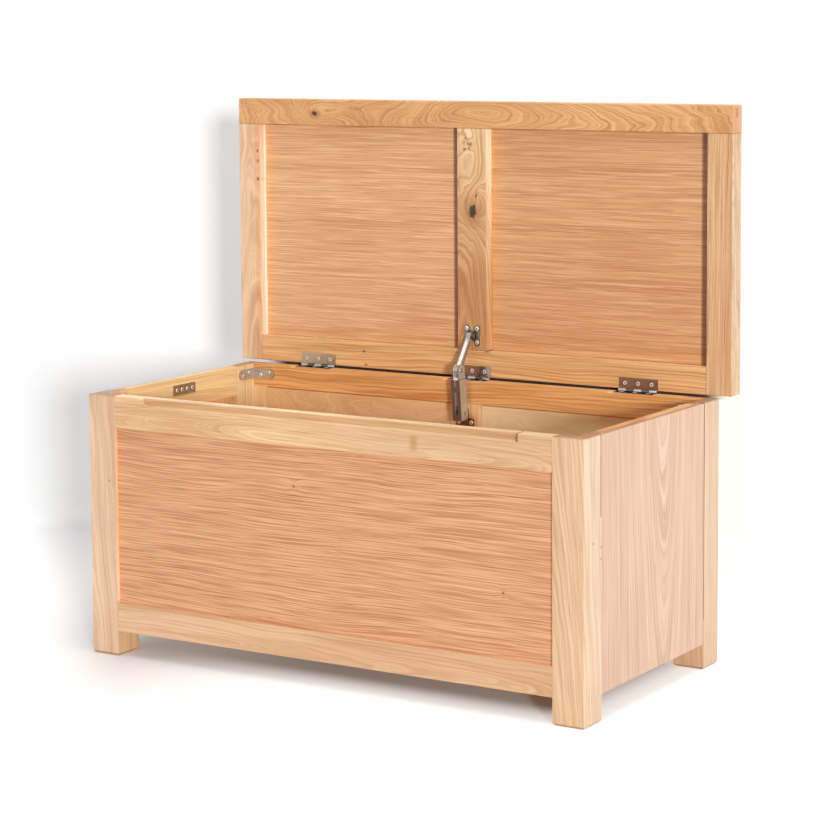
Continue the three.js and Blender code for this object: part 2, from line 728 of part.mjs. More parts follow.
const elbow = new THREE.Group();
elbow.position.set(0, elbowPin.x, elbowPin.y);
chest.add(elbow);
place(elbow, 'stay_arm', stayArm(), nickel());

// Housing, drawn upright from the foot pin and leaned to the elbow
const housing = new THREE.Group();
housing.position.set(0, footPin.x, footPin.y);
housing.rotation.x = housingLean;
chest.add(housing);

const stayHousing = () => {
  const outline = [
    point(-housingFront, -housingTail), point(housingBack - housingTailBevel, -housingTail),
    point(housingBack, -housingTail + housingTailBevel), point(housingBack, housingTop),
    point(-housingFront, housingTop),
  ];
  const inside = (x0, x1, y0, y1, z0, z1) => block(box(x0, x1, y0, y1, z0, z1));
  const bottom = -housingTail - cutOverrun;
  const top = housingSpan + earRadius + cutOverrun;
  const shell = slab(outline, -halfHousing, halfHousing, alongX);
  const rootFront = -housingFront + sheetThickness - glueGap;
  const rootBack = housingBack - sheetThickness + glueGap;
  const ear = (side) => {
    const [from, to] = [side * earInside, side * earOutside];
    return unite([
      rod(point(0, housingSpan), earRadius, Math.min(from, to), Math.max(from, to), alongX),
      inside(from, to, -earRadius, earRadius, housingTop, housingSpan),
      inside(from, to, rootFront, rootBack, housingTop - earRoot, housingTop + glueGap),
      inside(from, side * (insideHousing + glueGap), rootFront, rootBack,
        housingTop - earRoot, housingTop - earRoot + earBoss),
    ]);
  };
  const hollow = inside(-insideHousing, insideHousing, -housingFront + sheetThickness,
    housingBack - sheetThickness, lipStart, top);
  const lowHollow = inside(-insideHousing, insideHousing, -housingFront + sheetThickness,
    housingBack + cutOverrun, bottom, lipStart + glueGap);
  const lipGap = inside(-insideHousing + housingLip, insideHousing - housingLip,
    0, housingBack + cutOverrun, bottom, top);
  const camGap = inside(-earInside, earInside, 0, housingBack + cutOverrun,
    housingTop - housingBackDrop, top);
  const slot = (z0, z1) => inside(-slotWidth / 2, slotWidth / 2,
    -housingFront - cutOverrun, -housingFront + sheetThickness + glueGap, z0, z1);
  const bores = [0, housingSpan].map((z) =>
    rod(point(0, z), pinHole, -housingWidth, housingWidth, alongX, holeSides));
  const open = cutAll(cutAll(shell, [hollow, lowHollow]).add(unite([ear(-1), ear(1)])), [lipGap, camGap,
    slot(housingTop - upperSlotLength, housingTop + cutOverrun),
    slot(lowerSlotStart, lowerSlotStart + lowerSlotLength)]);
  const seat = inside(-insideHousing - glueGap, insideHousing + glueGap,
    -housingFront + sheetThickness - glueGap, housingBack - sheetThickness,
    seatStart, seatStart + seatThickness)
    .subtract(rod(point(0, 0), stemRadius + stayGap, seatStart - cutOverrun,
      seatStart + seatThickness + cutOverrun, alongZ, holeSides));
  return cutAll(open.add(seat), bores);
};

const stayPlunger = () => {
  const face = housingSpan - camBase - stayGap;
  const headBack = housingBack - sheetThickness - stayGap;
  const head = block(box(-halfArm, halfArm, -housingFront + sheetThickness + stayGap, headBack,
    face - plungerHeadThickness, face));
  return head.add(rod(point(0, 0), stemRadius, stemEnd, face - glueGap, alongZ, holeSides));
};

// Spring between the plunger's head and the seat, one unbroken tube
const staySpring = () => {
  const from = seatStart + seatThickness + springWire / 2 + glueGap;
  const to = housingSpan - camBase - stayGap - plungerHeadThickness - springWire / 2 - glueGap;
  class Coil extends THREE.Curve {
    getPoint(t, target = new THREE.Vector3()) {
      const angle = 2 * Math.PI * springTurns * t;
      return target.set(springRadius * Math.cos(angle), springRadius * Math.sin(angle),
        from + (to - from) * t);
    }
  }
  const wire = new THREE.Shape(disc(point(0, 0), springWire / 2, springSides));
  const geometry = new THREE.ExtrudeGeometry(wire, {
    steps: springTurns * springSteps, bevelEnabled: false, extrudePath: new Coil(),
  });
  const turnGap = (to - from) / springTurns - springWire;
  console.log(`stay_spring least gap between turns ${turnGap.toFixed(2)} mm`);
  return toManifold(geometry);
};

place(housing, 'stay_housing', stayHousing(), nickel());
place(housing, 'stay_plunger', stayPlunger(), springSteel());
place(housing, 'stay_spring', staySpring(), springSteel());
place(housing, 'stay_elbow_pin',
  headedPin(point(0, housingSpan), earOutside + pinClearance), nickel());

// Foot bracket on the back muntin, its ears inside the housing's open tail
const footBracket = () => {
  const back = muntinFront - glueGap;
  const face = back - sheetThickness;
  const outer = insideHousing - stayGap;
  const top = footPin.y - footPlateDrop;
  const plate = block(box(-footPlateWidth / 2, footPlateWidth / 2, face, back,
    top - footPlateHeight, top));
  const neck = block(box(-outer, outer, face, back, top - sheetThickness, footPin.y + footEarRadius));
  const ear = (side) => slab([
    ...arc(footPin, footEarRadius, Math.PI / 2, Math.PI * 3 / 2, roundSides / 2),
    point(back, footPin.y - footEarRadius), point(back, footPin.y + footEarRadius),
  ], Math.min(side * outer, side * (outer - sheetThickness)),
  Math.max(side * outer, side * (outer - sheetThickness)), alongX);
  const holes = sides.flatMap(([, side]) => [0, 1].map((row) => screwHole(
    footPin.y - footHoleDrop - row * footHoleSpacing, side * footHoleSpacing, face, back, alongY)));
  const bore = rod(footPin, pinHole, -housingWidth, housingWidth, alongX, holeSides);
  return cutAll(unite([plate, neck, ear(-1), ear(1)]), [...holes, bore]);
};

place(chest, 'stay_foot_bracket', footBracket(), nickel());
place(chest, 'stay_foot_pin',
  rod(footPin, stayPinRadius, -halfHousing, halfHousing, alongX, holeSides), nickel());

// The origin stands under the middle of the open chest, front face to lid back
chest.position.y = -(hingeY + lidTop - halfDepth) / 2;

export default chest;
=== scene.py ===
"""Looks for the oak blanket chest: lacquered oak, plated steel fittings, screws, and a white studio."""
import math

import bmesh
import bpy
from mathutils import Matrix, Vector

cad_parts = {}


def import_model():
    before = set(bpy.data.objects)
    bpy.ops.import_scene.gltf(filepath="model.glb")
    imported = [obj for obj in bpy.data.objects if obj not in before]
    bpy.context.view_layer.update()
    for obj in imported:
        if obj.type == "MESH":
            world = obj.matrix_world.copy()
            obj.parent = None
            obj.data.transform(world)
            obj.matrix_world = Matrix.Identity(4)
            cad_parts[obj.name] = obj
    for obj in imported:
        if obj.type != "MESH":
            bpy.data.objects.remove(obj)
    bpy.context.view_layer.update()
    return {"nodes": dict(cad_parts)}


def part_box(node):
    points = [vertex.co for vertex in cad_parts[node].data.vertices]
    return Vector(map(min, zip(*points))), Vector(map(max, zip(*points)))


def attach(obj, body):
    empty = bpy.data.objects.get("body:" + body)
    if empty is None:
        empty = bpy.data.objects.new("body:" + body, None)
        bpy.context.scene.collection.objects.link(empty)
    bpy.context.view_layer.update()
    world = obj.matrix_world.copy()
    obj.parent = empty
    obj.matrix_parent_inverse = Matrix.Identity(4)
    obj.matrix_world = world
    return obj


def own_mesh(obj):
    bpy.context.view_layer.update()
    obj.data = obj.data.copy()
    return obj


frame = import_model()
nodes = frame["nodes"]


# Node helpers
def give(tree, target, value):
    """Links a socket to the target, or sets the target to a plain value."""
    if isinstance(value, bpy.types.NodeSocket):
        tree.links.new(value, target)
    else:
        target.default_value = value


def add(tree, kind, inputs=None, **props):
    made = tree.nodes.new(kind)
    for name, value in props.items():
        setattr(made, name, value)
    for key, value in (inputs or {}).items():
        give(tree, made.inputs[key], value)
    return made


def calc(tree, operation, a, b=0.0, clamp=False):
    made = add(tree, "ShaderNodeMath", {0: a, 1: b}, operation=operation)
    made.use_clamp = clamp
    return made.outputs[0]


def times(tree, a, b):
    return calc(tree, "MULTIPLY", a, b)


def plus(tree, a, b):
    return calc(tree, "ADD", a, b)


def minus(tree, a, b):
    return calc(tree, "SUBTRACT", a, b)


def divide(tree, a, b):
    return calc(tree, "DIVIDE", a, b)


def larger(tree, a, b):
    return calc(tree, "MAXIMUM", a, b)


def length(tree, a, b):
    """The length of a flat vector."""
    return calc(tree, "SQRT", plus(tree, times(tree, a, a), times(tree, b, b)))


def bell(tree, value):
    """One where the value is nought, fading on both sides."""
    return calc(tree, "EXPONENT", times(tree, times(tree, value, value), -1.0))


def split(tree, value):
    """The three values of a vector."""
    return tuple(add(tree, "ShaderNodeSeparateXYZ", {0: value}).outputs)


def vector(tree, x, y, z):
    return add(tree, "ShaderNodeCombineXYZ", {0: x, 1: y, 2: z}).outputs[0]


def noise(tree, where, detail=2.0, roughness=0.5):
    inputs = {"Vector": where, "Scale": 1.0, "Detail": detail, "Roughness": roughness}
    return add(tree, "ShaderNodeTexNoise", inputs).outputs[0]


def stretched(tree, point, scales, detail=2.0, shift=None, at=0):
    """Noise over the scaled values of a point. shift is added to the value that at counts."""
    values = [times(tree, value, scale) for value, scale in zip(point, scales)]
    if shift is not None:
        values[at] = plus(tree, values[at], shift)
    return noise(tree, vector(tree, *values), detail)


def span(tree, value, low, high, to_low=0.0, to_high=1.0):
    """Goes smoothly from to_low to to_high while the value goes from low to high."""
    made = add(tree, "ShaderNodeMapRange", {0: value, 1: low, 2: high, 3: to_low, 4: to_high})
    made.interpolation_type = "SMOOTHSTEP"
    return made.outputs[0]


def falling(tree, value, low, high):
    """One below low and nought above high."""
    return span(tree, value, low, high, 1.0, 0.0)


def blend(tree, factor, a, b, mode="MIX"):
    made = add(tree, "ShaderNodeMix", data_type="RGBA", blend_type=mode)
    for socket, value in (("Factor_Float", factor), ("A_Color", a), ("B_Color", b)):
        give(tree, next(s for s in made.inputs if s.identifier == socket), value)
    return next(s for s in made.outputs if s.identifier == "Result_Color")


def rgb(colour):
    return (*colour, 1.0)


def tinted(tree, share, shade, factors):
    """The shade multiplied by the factors, as far as share says."""
    return blend(tree, share, shade, blend(tree, 1.0, shade, rgb(factors), "MULTIPLY"))


def ramp(tree, value, stops):
    made = add(tree, "ShaderNodeValToRGB", {0: value})
    elements = made.color_ramp.elements
    while len(elements) < len(stops):
        elements.new(0.5)
    for element, (place, level) in zip(elements, stops):
        element.position = place
        element.color = (level, level, level, 1)
    return made.outputs[0]


def new_material(name):
    """A material with its node tree."""
    material = bpy.data.materials.new(name)
    material.use_nodes = True
    return material, material.node_tree


def sockets(kind, *labels):
    return [(label, kind) for label in labels]


def group(name, inputs, outputs, build):
    tree = bpy.data.node_groups.new(name, "ShaderNodeTree")
    for label, kind in inputs:
        tree.interface.new_socket(label, in_out="INPUT", socket_type=kind)
    for label, kind in outputs:
        tree.interface.new_socket(label, in_out="OUTPUT", socket_type=kind)
    entry = tree.nodes.new("NodeGroupInput")
    leave = tree.nodes.new("NodeGroupOutput")
    for label, socket in build(tree, entry.outputs).items():
        tree.links.new(socket, leave.inputs[label])
    return tree


FLOAT, VECTOR = "NodeSocketFloat", "NodeSocketVector"

# Noise scales to a metre: along the grain, across the face and into the board
WANDER_SIDE, WANDER_DEEP = (2.6, 7.0, 7.0), (3.4, 11.0, 11.0)
RIPPLE_SCALES, TONE_SCALES = (70.0, 90.0, 90.0), (3.0, 10.0, 10.0)
PORE_SCALES, RAY_SCALES = (13.0, 600.0, 600.0), (11.0, 520.0, 520.0)
# Noise scales along the grain and across it, there by the radius in metres or by the count of rings
FINE_ALONG, FINE_RADIUS, FINE_ROUGH = 6.0, 600.0, 0.6
BROAD_ALONG, BROAD_RINGS, BROAD_ROUGH = 2.2, 0.35, 0.55
UNEVEN_RINGS, UNEVEN_SHARE, YEAR_ALONG = 0.45, 1.6, 0.8
# Limits between which a noise goes from nought to one
STREAK_SPAN, TONE_SPAN, PORE_SPAN, RAY_SPAN = (0.33, 0.67), (0.3, 0.7), (0.56, 0.65), (0.55, 0.64)
# How strong a year's ring and line are by its noise, and the pores by the ring: low, high, from and to
YEAR_RING, YEAR_LINE, RING_PORES = (0.3, 0.7, 0.45, 1.15), (0.35, 0.65, 0.2, 1.1), (0.15, 0.75, 0.3, 1.0)
# The tone through one year's growth, and the dark line where it starts: place and level
RING_STOPS = ((0.0, 0.55), (0.1, 1.0), (0.34, 0.42), (0.7, 0.1), (0.93, 0.06), (1.0, 0.55))
LINE_STOPS = ((0.0, 0.0), (0.03, 1.0), (0.1, 0.9), (0.2, 0.4), (0.55, 0.12), (1.0, 0.0))


# A board cut from a log: rings round a pith line that leans and wanders, pores, streaks and flecks
def build_figure(tree, given):
    grain = split(tree, given["Grain"])
    pith = split(tree, given["Pith"])
    seed = given["Seed"]
    u, v, w = grain
    to_side = minus(tree, stretched(tree, grain, WANDER_SIDE, shift=seed), 0.5)
    to_deep = minus(tree, stretched(tree, grain, WANDER_DEEP, 3.0, shift=seed, at=1), 0.5)
    across = plus(tree, plus(tree, v, pith[1]), times(tree, to_side, given["Wander"]))
    leant = plus(tree, plus(tree, w, pith[2]), times(tree, u, given["Lean"]))
    depth = plus(tree, leant, times(tree, to_deep, given["Wander"]))
    ripple = minus(tree, stretched(tree, grain, RIPPLE_SCALES, 1.0, shift=seed, at=2), 0.5)
    radius = plus(tree, length(tree, across, depth), times(tree, ripple, given["Curl"]))
    count = times(tree, radius, given["Rings"])

    uneven = noise(tree, vector(tree, times(tree, count, UNEVEN_RINGS), seed, 0.0), 1.0)
    phase = plus(tree, count, times(tree, uneven, UNEVEN_SHARE))
    in_year = calc(tree, "FRACT", phase)
    year = noise(tree, vector(tree, calc(tree, "FLOOR", phase), seed, times(tree, u, YEAR_ALONG)), 0.0)
    ring = times(tree, ramp(tree, in_year, RING_STOPS), span(tree, year, *YEAR_RING))
    line = times(tree, ramp(tree, in_year, LINE_STOPS), span(tree, year, *YEAR_LINE))

    fine_at = vector(tree, times(tree, u, FINE_ALONG), times(tree, radius, FINE_RADIUS), seed)
    fine = span(tree, noise(tree, fine_at, 2.0, FINE_ROUGH), *STREAK_SPAN)
    broad_at = vector(tree, times(tree, u, BROAD_ALONG), times(tree, count, BROAD_RINGS), seed)
    broad = span(tree, noise(tree, broad_at, 3.0, BROAD_ROUGH), *STREAK_SPAN)
    cells = span(tree, stretched(tree, grain, PORE_SCALES), *PORE_SPAN)
    pores = times(tree, cells, span(tree, ring, *RING_PORES))
    flecks = span(tree, stretched(tree, (plus(tree, u, seed), v, w), RAY_SCALES), *RAY_SPAN)
    tone = span(tree, stretched(tree, grain, TONE_SCALES, 3.0, shift=seed), *TONE_SPAN)
    return {"Ring": ring, "Line": line, "Fine": fine, "Broad": broad, "Pores": pores, "Flecks": flecks,
            "Tone": tone}


figure = group(
    "oak figure",
    sockets(VECTOR, "Grain", "Pith") + sockets(FLOAT, "Lean", "Wander", "Rings", "Seed", "Curl"),
    sockets(FLOAT, "Ring", "Fine", "Broad", "Pores", "Flecks", "Tone", "Line"),
    build_figure,
)

# Knots are longer along the grain. Their edge is ragged, and heart and halo end between shares of the size
KNOT_ALONG, KNOT_DRAWS = 0.72, 0.8
RAGGED_SCALES, RAGGED_SHARE = (170.0, 170.0, 90.0), 1.1
HEART_EDGE, HALO_EDGE = (0.55, 1.0), (0.9, 3.0)


# A knot pushes the grain round itself and has a dark, cracked heart
def build_knot(tree, given):
    u, v, w = split(tree, given["Grain"])
    at_u, at_v, _ = split(tree, given["Place"])
    du = times(tree, minus(tree, u, at_u), KNOT_ALONG)
    dv = minus(tree, v, at_v)
    away = length(tree, du, dv)
    ragged = minus(tree, stretched(tree, (u, v, at_v), RAGGED_SCALES, 3.0), 0.5)
    edge = times(tree, ragged, times(tree, given["Size"], RAGGED_SHARE))
    share = divide(tree, plus(tree, away, edge), given["Size"])
    pull = bell(tree, divide(tree, away, given["Reach"]))
    depth = plus(tree, w, times(tree, pull, given["Push"]))
    side = plus(tree, v, times(tree, times(tree, pull, dv), KNOT_DRAWS))
    heart = minus(tree, 1.0, span(tree, share, *HEART_EDGE))
    halo = minus(tree, 1.0, span(tree, share, *HALO_EDGE))
    return {"Grain": vector(tree, u, side, depth), "Heart": heart, "Halo": halo}


knot_group = group(
    "knot",
    sockets(VECTOR, "Grain", "Place") + sockets(FLOAT, "Size", "Reach", "Push"),
    sockets(VECTOR, "Grain") + sockets(FLOAT, "Heart", "Halo"),
    build_knot,
)

AXES = {"X": 0, "Y": 1, "Z": 2}
# How far a face's normal has to lie along an axis, for the face to take that axis's tint
FACE_SPAN = (0.6, 0.8)
# Tints of the dark wood, pores, flecks, knots and joint lines, and the mean tone of a ring
DARKER, PORE_TINT, FLECK_TINT = (0.66, 0.51, 0.4), (0.7, 0.6, 0.5), (1.1, 1.2, 1.35)
HALO_TINT, HALO_SHARE, HEART_COLOUR = (0.72, 0.55, 0.42), 0.6, (0.055, 0.02, 0.01)
SEAM_WIDTH, SEAM_SHARE, SEAM_TINT = 0.0013, 0.75, (0.42, 0.26, 0.15)
RING_MEAN = 0.35
# How deep pores, rings and knots lie, as shares of the bump's distance, and how much duller pores are
PORE_DEPTH, RING_DEPTH, HEART_DEPTH, BUMP_STRENGTH, BUMP_DISTANCE = 0.6, 0.2, 2.0, 0.35, 0.0002
PORE_ROUGH = 0.2
# The untinted factors, painted light for the faces that look up, and the darker end grain
UNTINTED, TOP_LIGHT_TINT, END_GRAIN = (1.0, 1.0, 1.0), (1.2, 1.3, 1.42), (0.8, 0.7, 0.62)


def linear(colour):
    """Linear light from a colour given as eight-bit screen values."""
    shares = [value / 255 for value in colour]
    return tuple(c / 12.92 if c < 0.04045 else ((c + 0.055) / 1.055) ** 2.4 for c in shares)


def scaled(colour, factors):
    return tuple(min(1.0, c * f) for c, f in zip(colour, factors))


def inside(tree, place, limits, soft):
    """One within the limits, fading to nought over the soft width."""
    held = 1.0
    for axis, (low, high) in limits.items():
        value = place[AXES[axis]]
        rise = span(tree, value, low - soft, low)
        held = times(tree, held, times(tree, rise, falling(tree, value, high, high + soft)))
    return held


def oak(name, colour, grain, pith, lean=0.04, wander=0.025, rings=230.0, seed=0.0, ring=0.45, fine=0.5,
        broad=0.4, tone=0.35, pores=0.35, flecks=0.0, curl=0.0, line=0.0, rough=0.42, knots=(), bands=(),
        seams="", side=UNTINTED, top=TOP_LIGHT_TINT, ends=END_GRAIN, patches=(), contrast=1.0):
    """A lacquered board. grain names the axes along its grain and across its face, such as XZ. side and top
    paint light and shade on the faces that look right and up.
    """
    material, tree = new_material(name)
    shader = tree.nodes["Principled BSDF"]
    spot = add(tree, "ShaderNodeTexCoord")
    place = split(tree, spot.outputs["Object"])
    facing = split(tree, spot.outputs["Normal"])
    along, across = grain
    third = next(axis for axis in "XYZ" if axis not in grain)
    u, v, w = (place[AXES[axis]] for axis in (along, across, third))

    # The grain bends round each knot before the figure is laid over it
    where = vector(tree, u, v, w)
    heart = halo = 0.0
    for at_u, at_v, size, reach, push in knots:
        inputs = {"Grain": where, "Place": (at_u, at_v, 0.0), "Size": size, "Reach": reach, "Push": push}
        knot = add(tree, "ShaderNodeGroup", inputs, node_tree=knot_group).outputs
        where = knot["Grain"]
        heart = larger(tree, heart, knot["Heart"])
        halo = larger(tree, halo, knot["Halo"])
    inputs = {"Grain": where, "Pith": (0.0, *pith), "Lean": lean, "Wander": wander, "Rings": rings,
              "Seed": seed, "Curl": curl}
    out = add(tree, "ShaderNodeGroup", inputs, node_tree=figure).outputs

    # How dark the wood is, from nought to one
    dim = plus(tree, times(tree, out["Ring"], ring), 0.5 - ring * RING_MEAN)
    for label, weight in (("Fine", fine), ("Broad", broad), ("Tone", tone)):
        dim = plus(tree, dim, times(tree, minus(tree, out[label], 0.5), weight))
    dim = plus(tree, dim, times(tree, out["Line"], line))
    for centre, width, amount in bands:
        shift = times(tree, minus(tree, out["Tone"], 0.5), width)
        off = divide(tree, minus(tree, plus(tree, v, shift), centre), width)
        dim = plus(tree, dim, times(tree, bell(tree, off), amount))
    dim = calc(tree, "ADD", dim, 0.0, clamp=True)

    # The colour given is the middle between light and dark wood
    depth = tuple(1 - (1 - d) * contrast for d in DARKER)
    light = scaled(linear(colour), tuple(2 / (1 + d) for d in depth))
    dark = scaled(light, depth)
    shade = blend(tree, dim, rgb(light), rgb(dark))
    shade = blend(tree, times(tree, out["Pores"], pores), shade, rgb(scaled(dark, PORE_TINT)))
    if flecks:
        shade = blend(tree, times(tree, out["Flecks"], flecks), shade, rgb(scaled(light, FLECK_TINT)))
    if knots:
        shade = blend(tree, times(tree, halo, HALO_SHARE), shade, rgb(scaled(dark, HALO_TINT)))
        shade = blend(tree, heart, shade, rgb(HEART_COLOUR))

    # Tints of the end grain, painted light and shade on the faces to the right, painted light on the top,
    # single places and the joint lines
    on_end = span(tree, calc(tree, "ABSOLUTE", facing[AXES[along]]), *FACE_SPAN)
    shade = tinted(tree, on_end, shade, ends)
    # Faces that look right and up take painted light where a factor is above one and painted shade where it
    # is below
    if side != UNTINTED:
        shade = tinted(tree, span(tree, facing[0], *FACE_SPAN), shade, side)
    shade = tinted(tree, span(tree, facing[2], *FACE_SPAN), shade, top)
    for limits, soft, factors in patches:
        shade = tinted(tree, inside(tree, place, limits, soft), shade, factors)
    low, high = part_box(name)
    for axis, way in zip(seams[::2], seams[1::2]):
        edge = (high if way == "+" else low)[AXES[axis]]
        off = calc(tree, "ABSOLUTE", minus(tree, place[AXES[axis]], edge))
        shade = tinted(tree, span(tree, off, 0.0, SEAM_WIDTH, SEAM_SHARE, 0.0), shade, SEAM_TINT)
    give(tree, shader.inputs["Base Color"], shade)

    sunk = plus(tree, times(tree, out["Pores"], PORE_DEPTH), times(tree, out["Ring"], RING_DEPTH))
    height = minus(tree, 0.0, sunk)
    if knots:
        height = minus(tree, height, times(tree, heart, HEART_DEPTH))
    inputs = {"Strength": BUMP_STRENGTH, "Distance": BUMP_DISTANCE, "Height": height}
    give(tree, shader.inputs["Normal"], add(tree, "ShaderNodeBump", inputs).outputs[0])
    give(tree, shader.inputs["Roughness"], plus(tree, times(tree, out["Pores"], PORE_ROUGH), rough))
    return material


# Tints that several boards share: painted light on faces and walls lit from the right, the darker end grain
# of posts, painted warm light and painted shadow along the lid panels' edges, a lighter patch by the hinges,
# seams, specks and painted shade in grooves
SIDE_LIGHT_TINT, LIT_WALL_TINT, POST_END = (1.03, 1.12, 1.24), (1.15, 1.35, 1.6), (0.5, 0.37, 0.27)
PAINTED_WARM_LIGHT, PAINTED_EDGE_SHADOW, HINGE_EDGE_LIGHTER = (1.05, 1.0, 0.8), (0.5, 0.44, 0.46), (1.25, 1.4, 1.55)
SEAM, SPECK, GROOVE_SHADE = (0.45, 0.3, 0.2), (0.55, 0.38, 0.28), (0.6, 0.5, 0.45)
# Tints of single places: painted shade in the finger pull and a painted shadow at its end, a stain, paler
# and greyer stretches of rail, painted shade under the back rail, darker and lighter stretches of muntin,
# painted light on a rebate wall, a warm edge, a painted highlight line and a reddish corner
PULL_SHADE, NOTCH_SHADOW, STAIN = (0.82, 0.76, 0.68), (0.4, 0.28, 0.2), (0.82, 0.7, 0.56)
RAIL_PALE, RAIL_GREY, UNDER_SHADE = (1.06, 1.1, 1.1), (0.93, 0.93, 0.93), (0.5, 0.36, 0.25)
MUNTIN_LOW, MUNTIN_HIGH, LIT_REBATE_WALL = (0.9, 0.82, 0.71), (1.12, 1.25, 1.35), (1.12, 1.32, 1.6)
WARM_EDGE, PAINTED_HIGHLIGHT_LINE, RED_CORNER = (1.0, 0.86, 0.74), (1.3, 1.5, 1.9), (0.8, 0.5, 0.45)

# Places on the boards, in metres
HINGE_SIDES = ("left", "middle", "right")
PANEL_LEFT, PANEL_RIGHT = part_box("lid_left_stile")[1].x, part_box("lid_right_stile")[0].x
MUNTIN_LEFT, MUNTIN_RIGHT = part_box("lid_muntin")[0].x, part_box("lid_muntin")[1].x
RAIL_FRONT, RAIL_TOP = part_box("front_top_rail")[0].y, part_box("front_top_rail")[1].z
RAIL_LOW, PULL_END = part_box("front_top_rail")[0].z, 0.336
BACK_LOW, BACK_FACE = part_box("back_top_rail")[0].z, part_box("back_panel_left")[0].y
HINGE_ENDS = [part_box(f"hinge_{side}_fixed_leaf")[0].x for side in HINGE_SIDES]


def patch(tint, soft, **limits):
    """A place where a board's colour is multiplied by the tint, fading over the soft width."""
    return limits, soft, tint


def panel_edges(left, right):
    """A lid panel has painted warm light along its left edge and a painted shadow along its right edge."""
    return (patch(PAINTED_WARM_LIGHT, 0.008, X=(left - 0.01, left + 0.003), Y=(0.2, 0.2255)),
            patch(PAINTED_EDGE_SHADOW, 0.003, X=(right - 0.0165, right + 0.01), Y=(0.2, 0.2255)))


UNDER_RAIL = patch(UNDER_SHADE, 0.0008, Y=(BACK_FACE - 0.001, BACK_FACE + 0.0008),
                   Z=(BACK_LOW - 0.0034, BACK_LOW + 0.01))
LID_PANEL = dict(
    grain="XZ", pith=(0.5, -0.22), lean=0.01, wander=0.012, rings=300.0, ring=0.15, fine=0.8, broad=0.05,
    tone=0.12, pores=0.45, flecks=0.65, contrast=0.8)
PLYWOOD = dict(wander=0.12, ring=0.4, pores=0.1, rough=0.55)
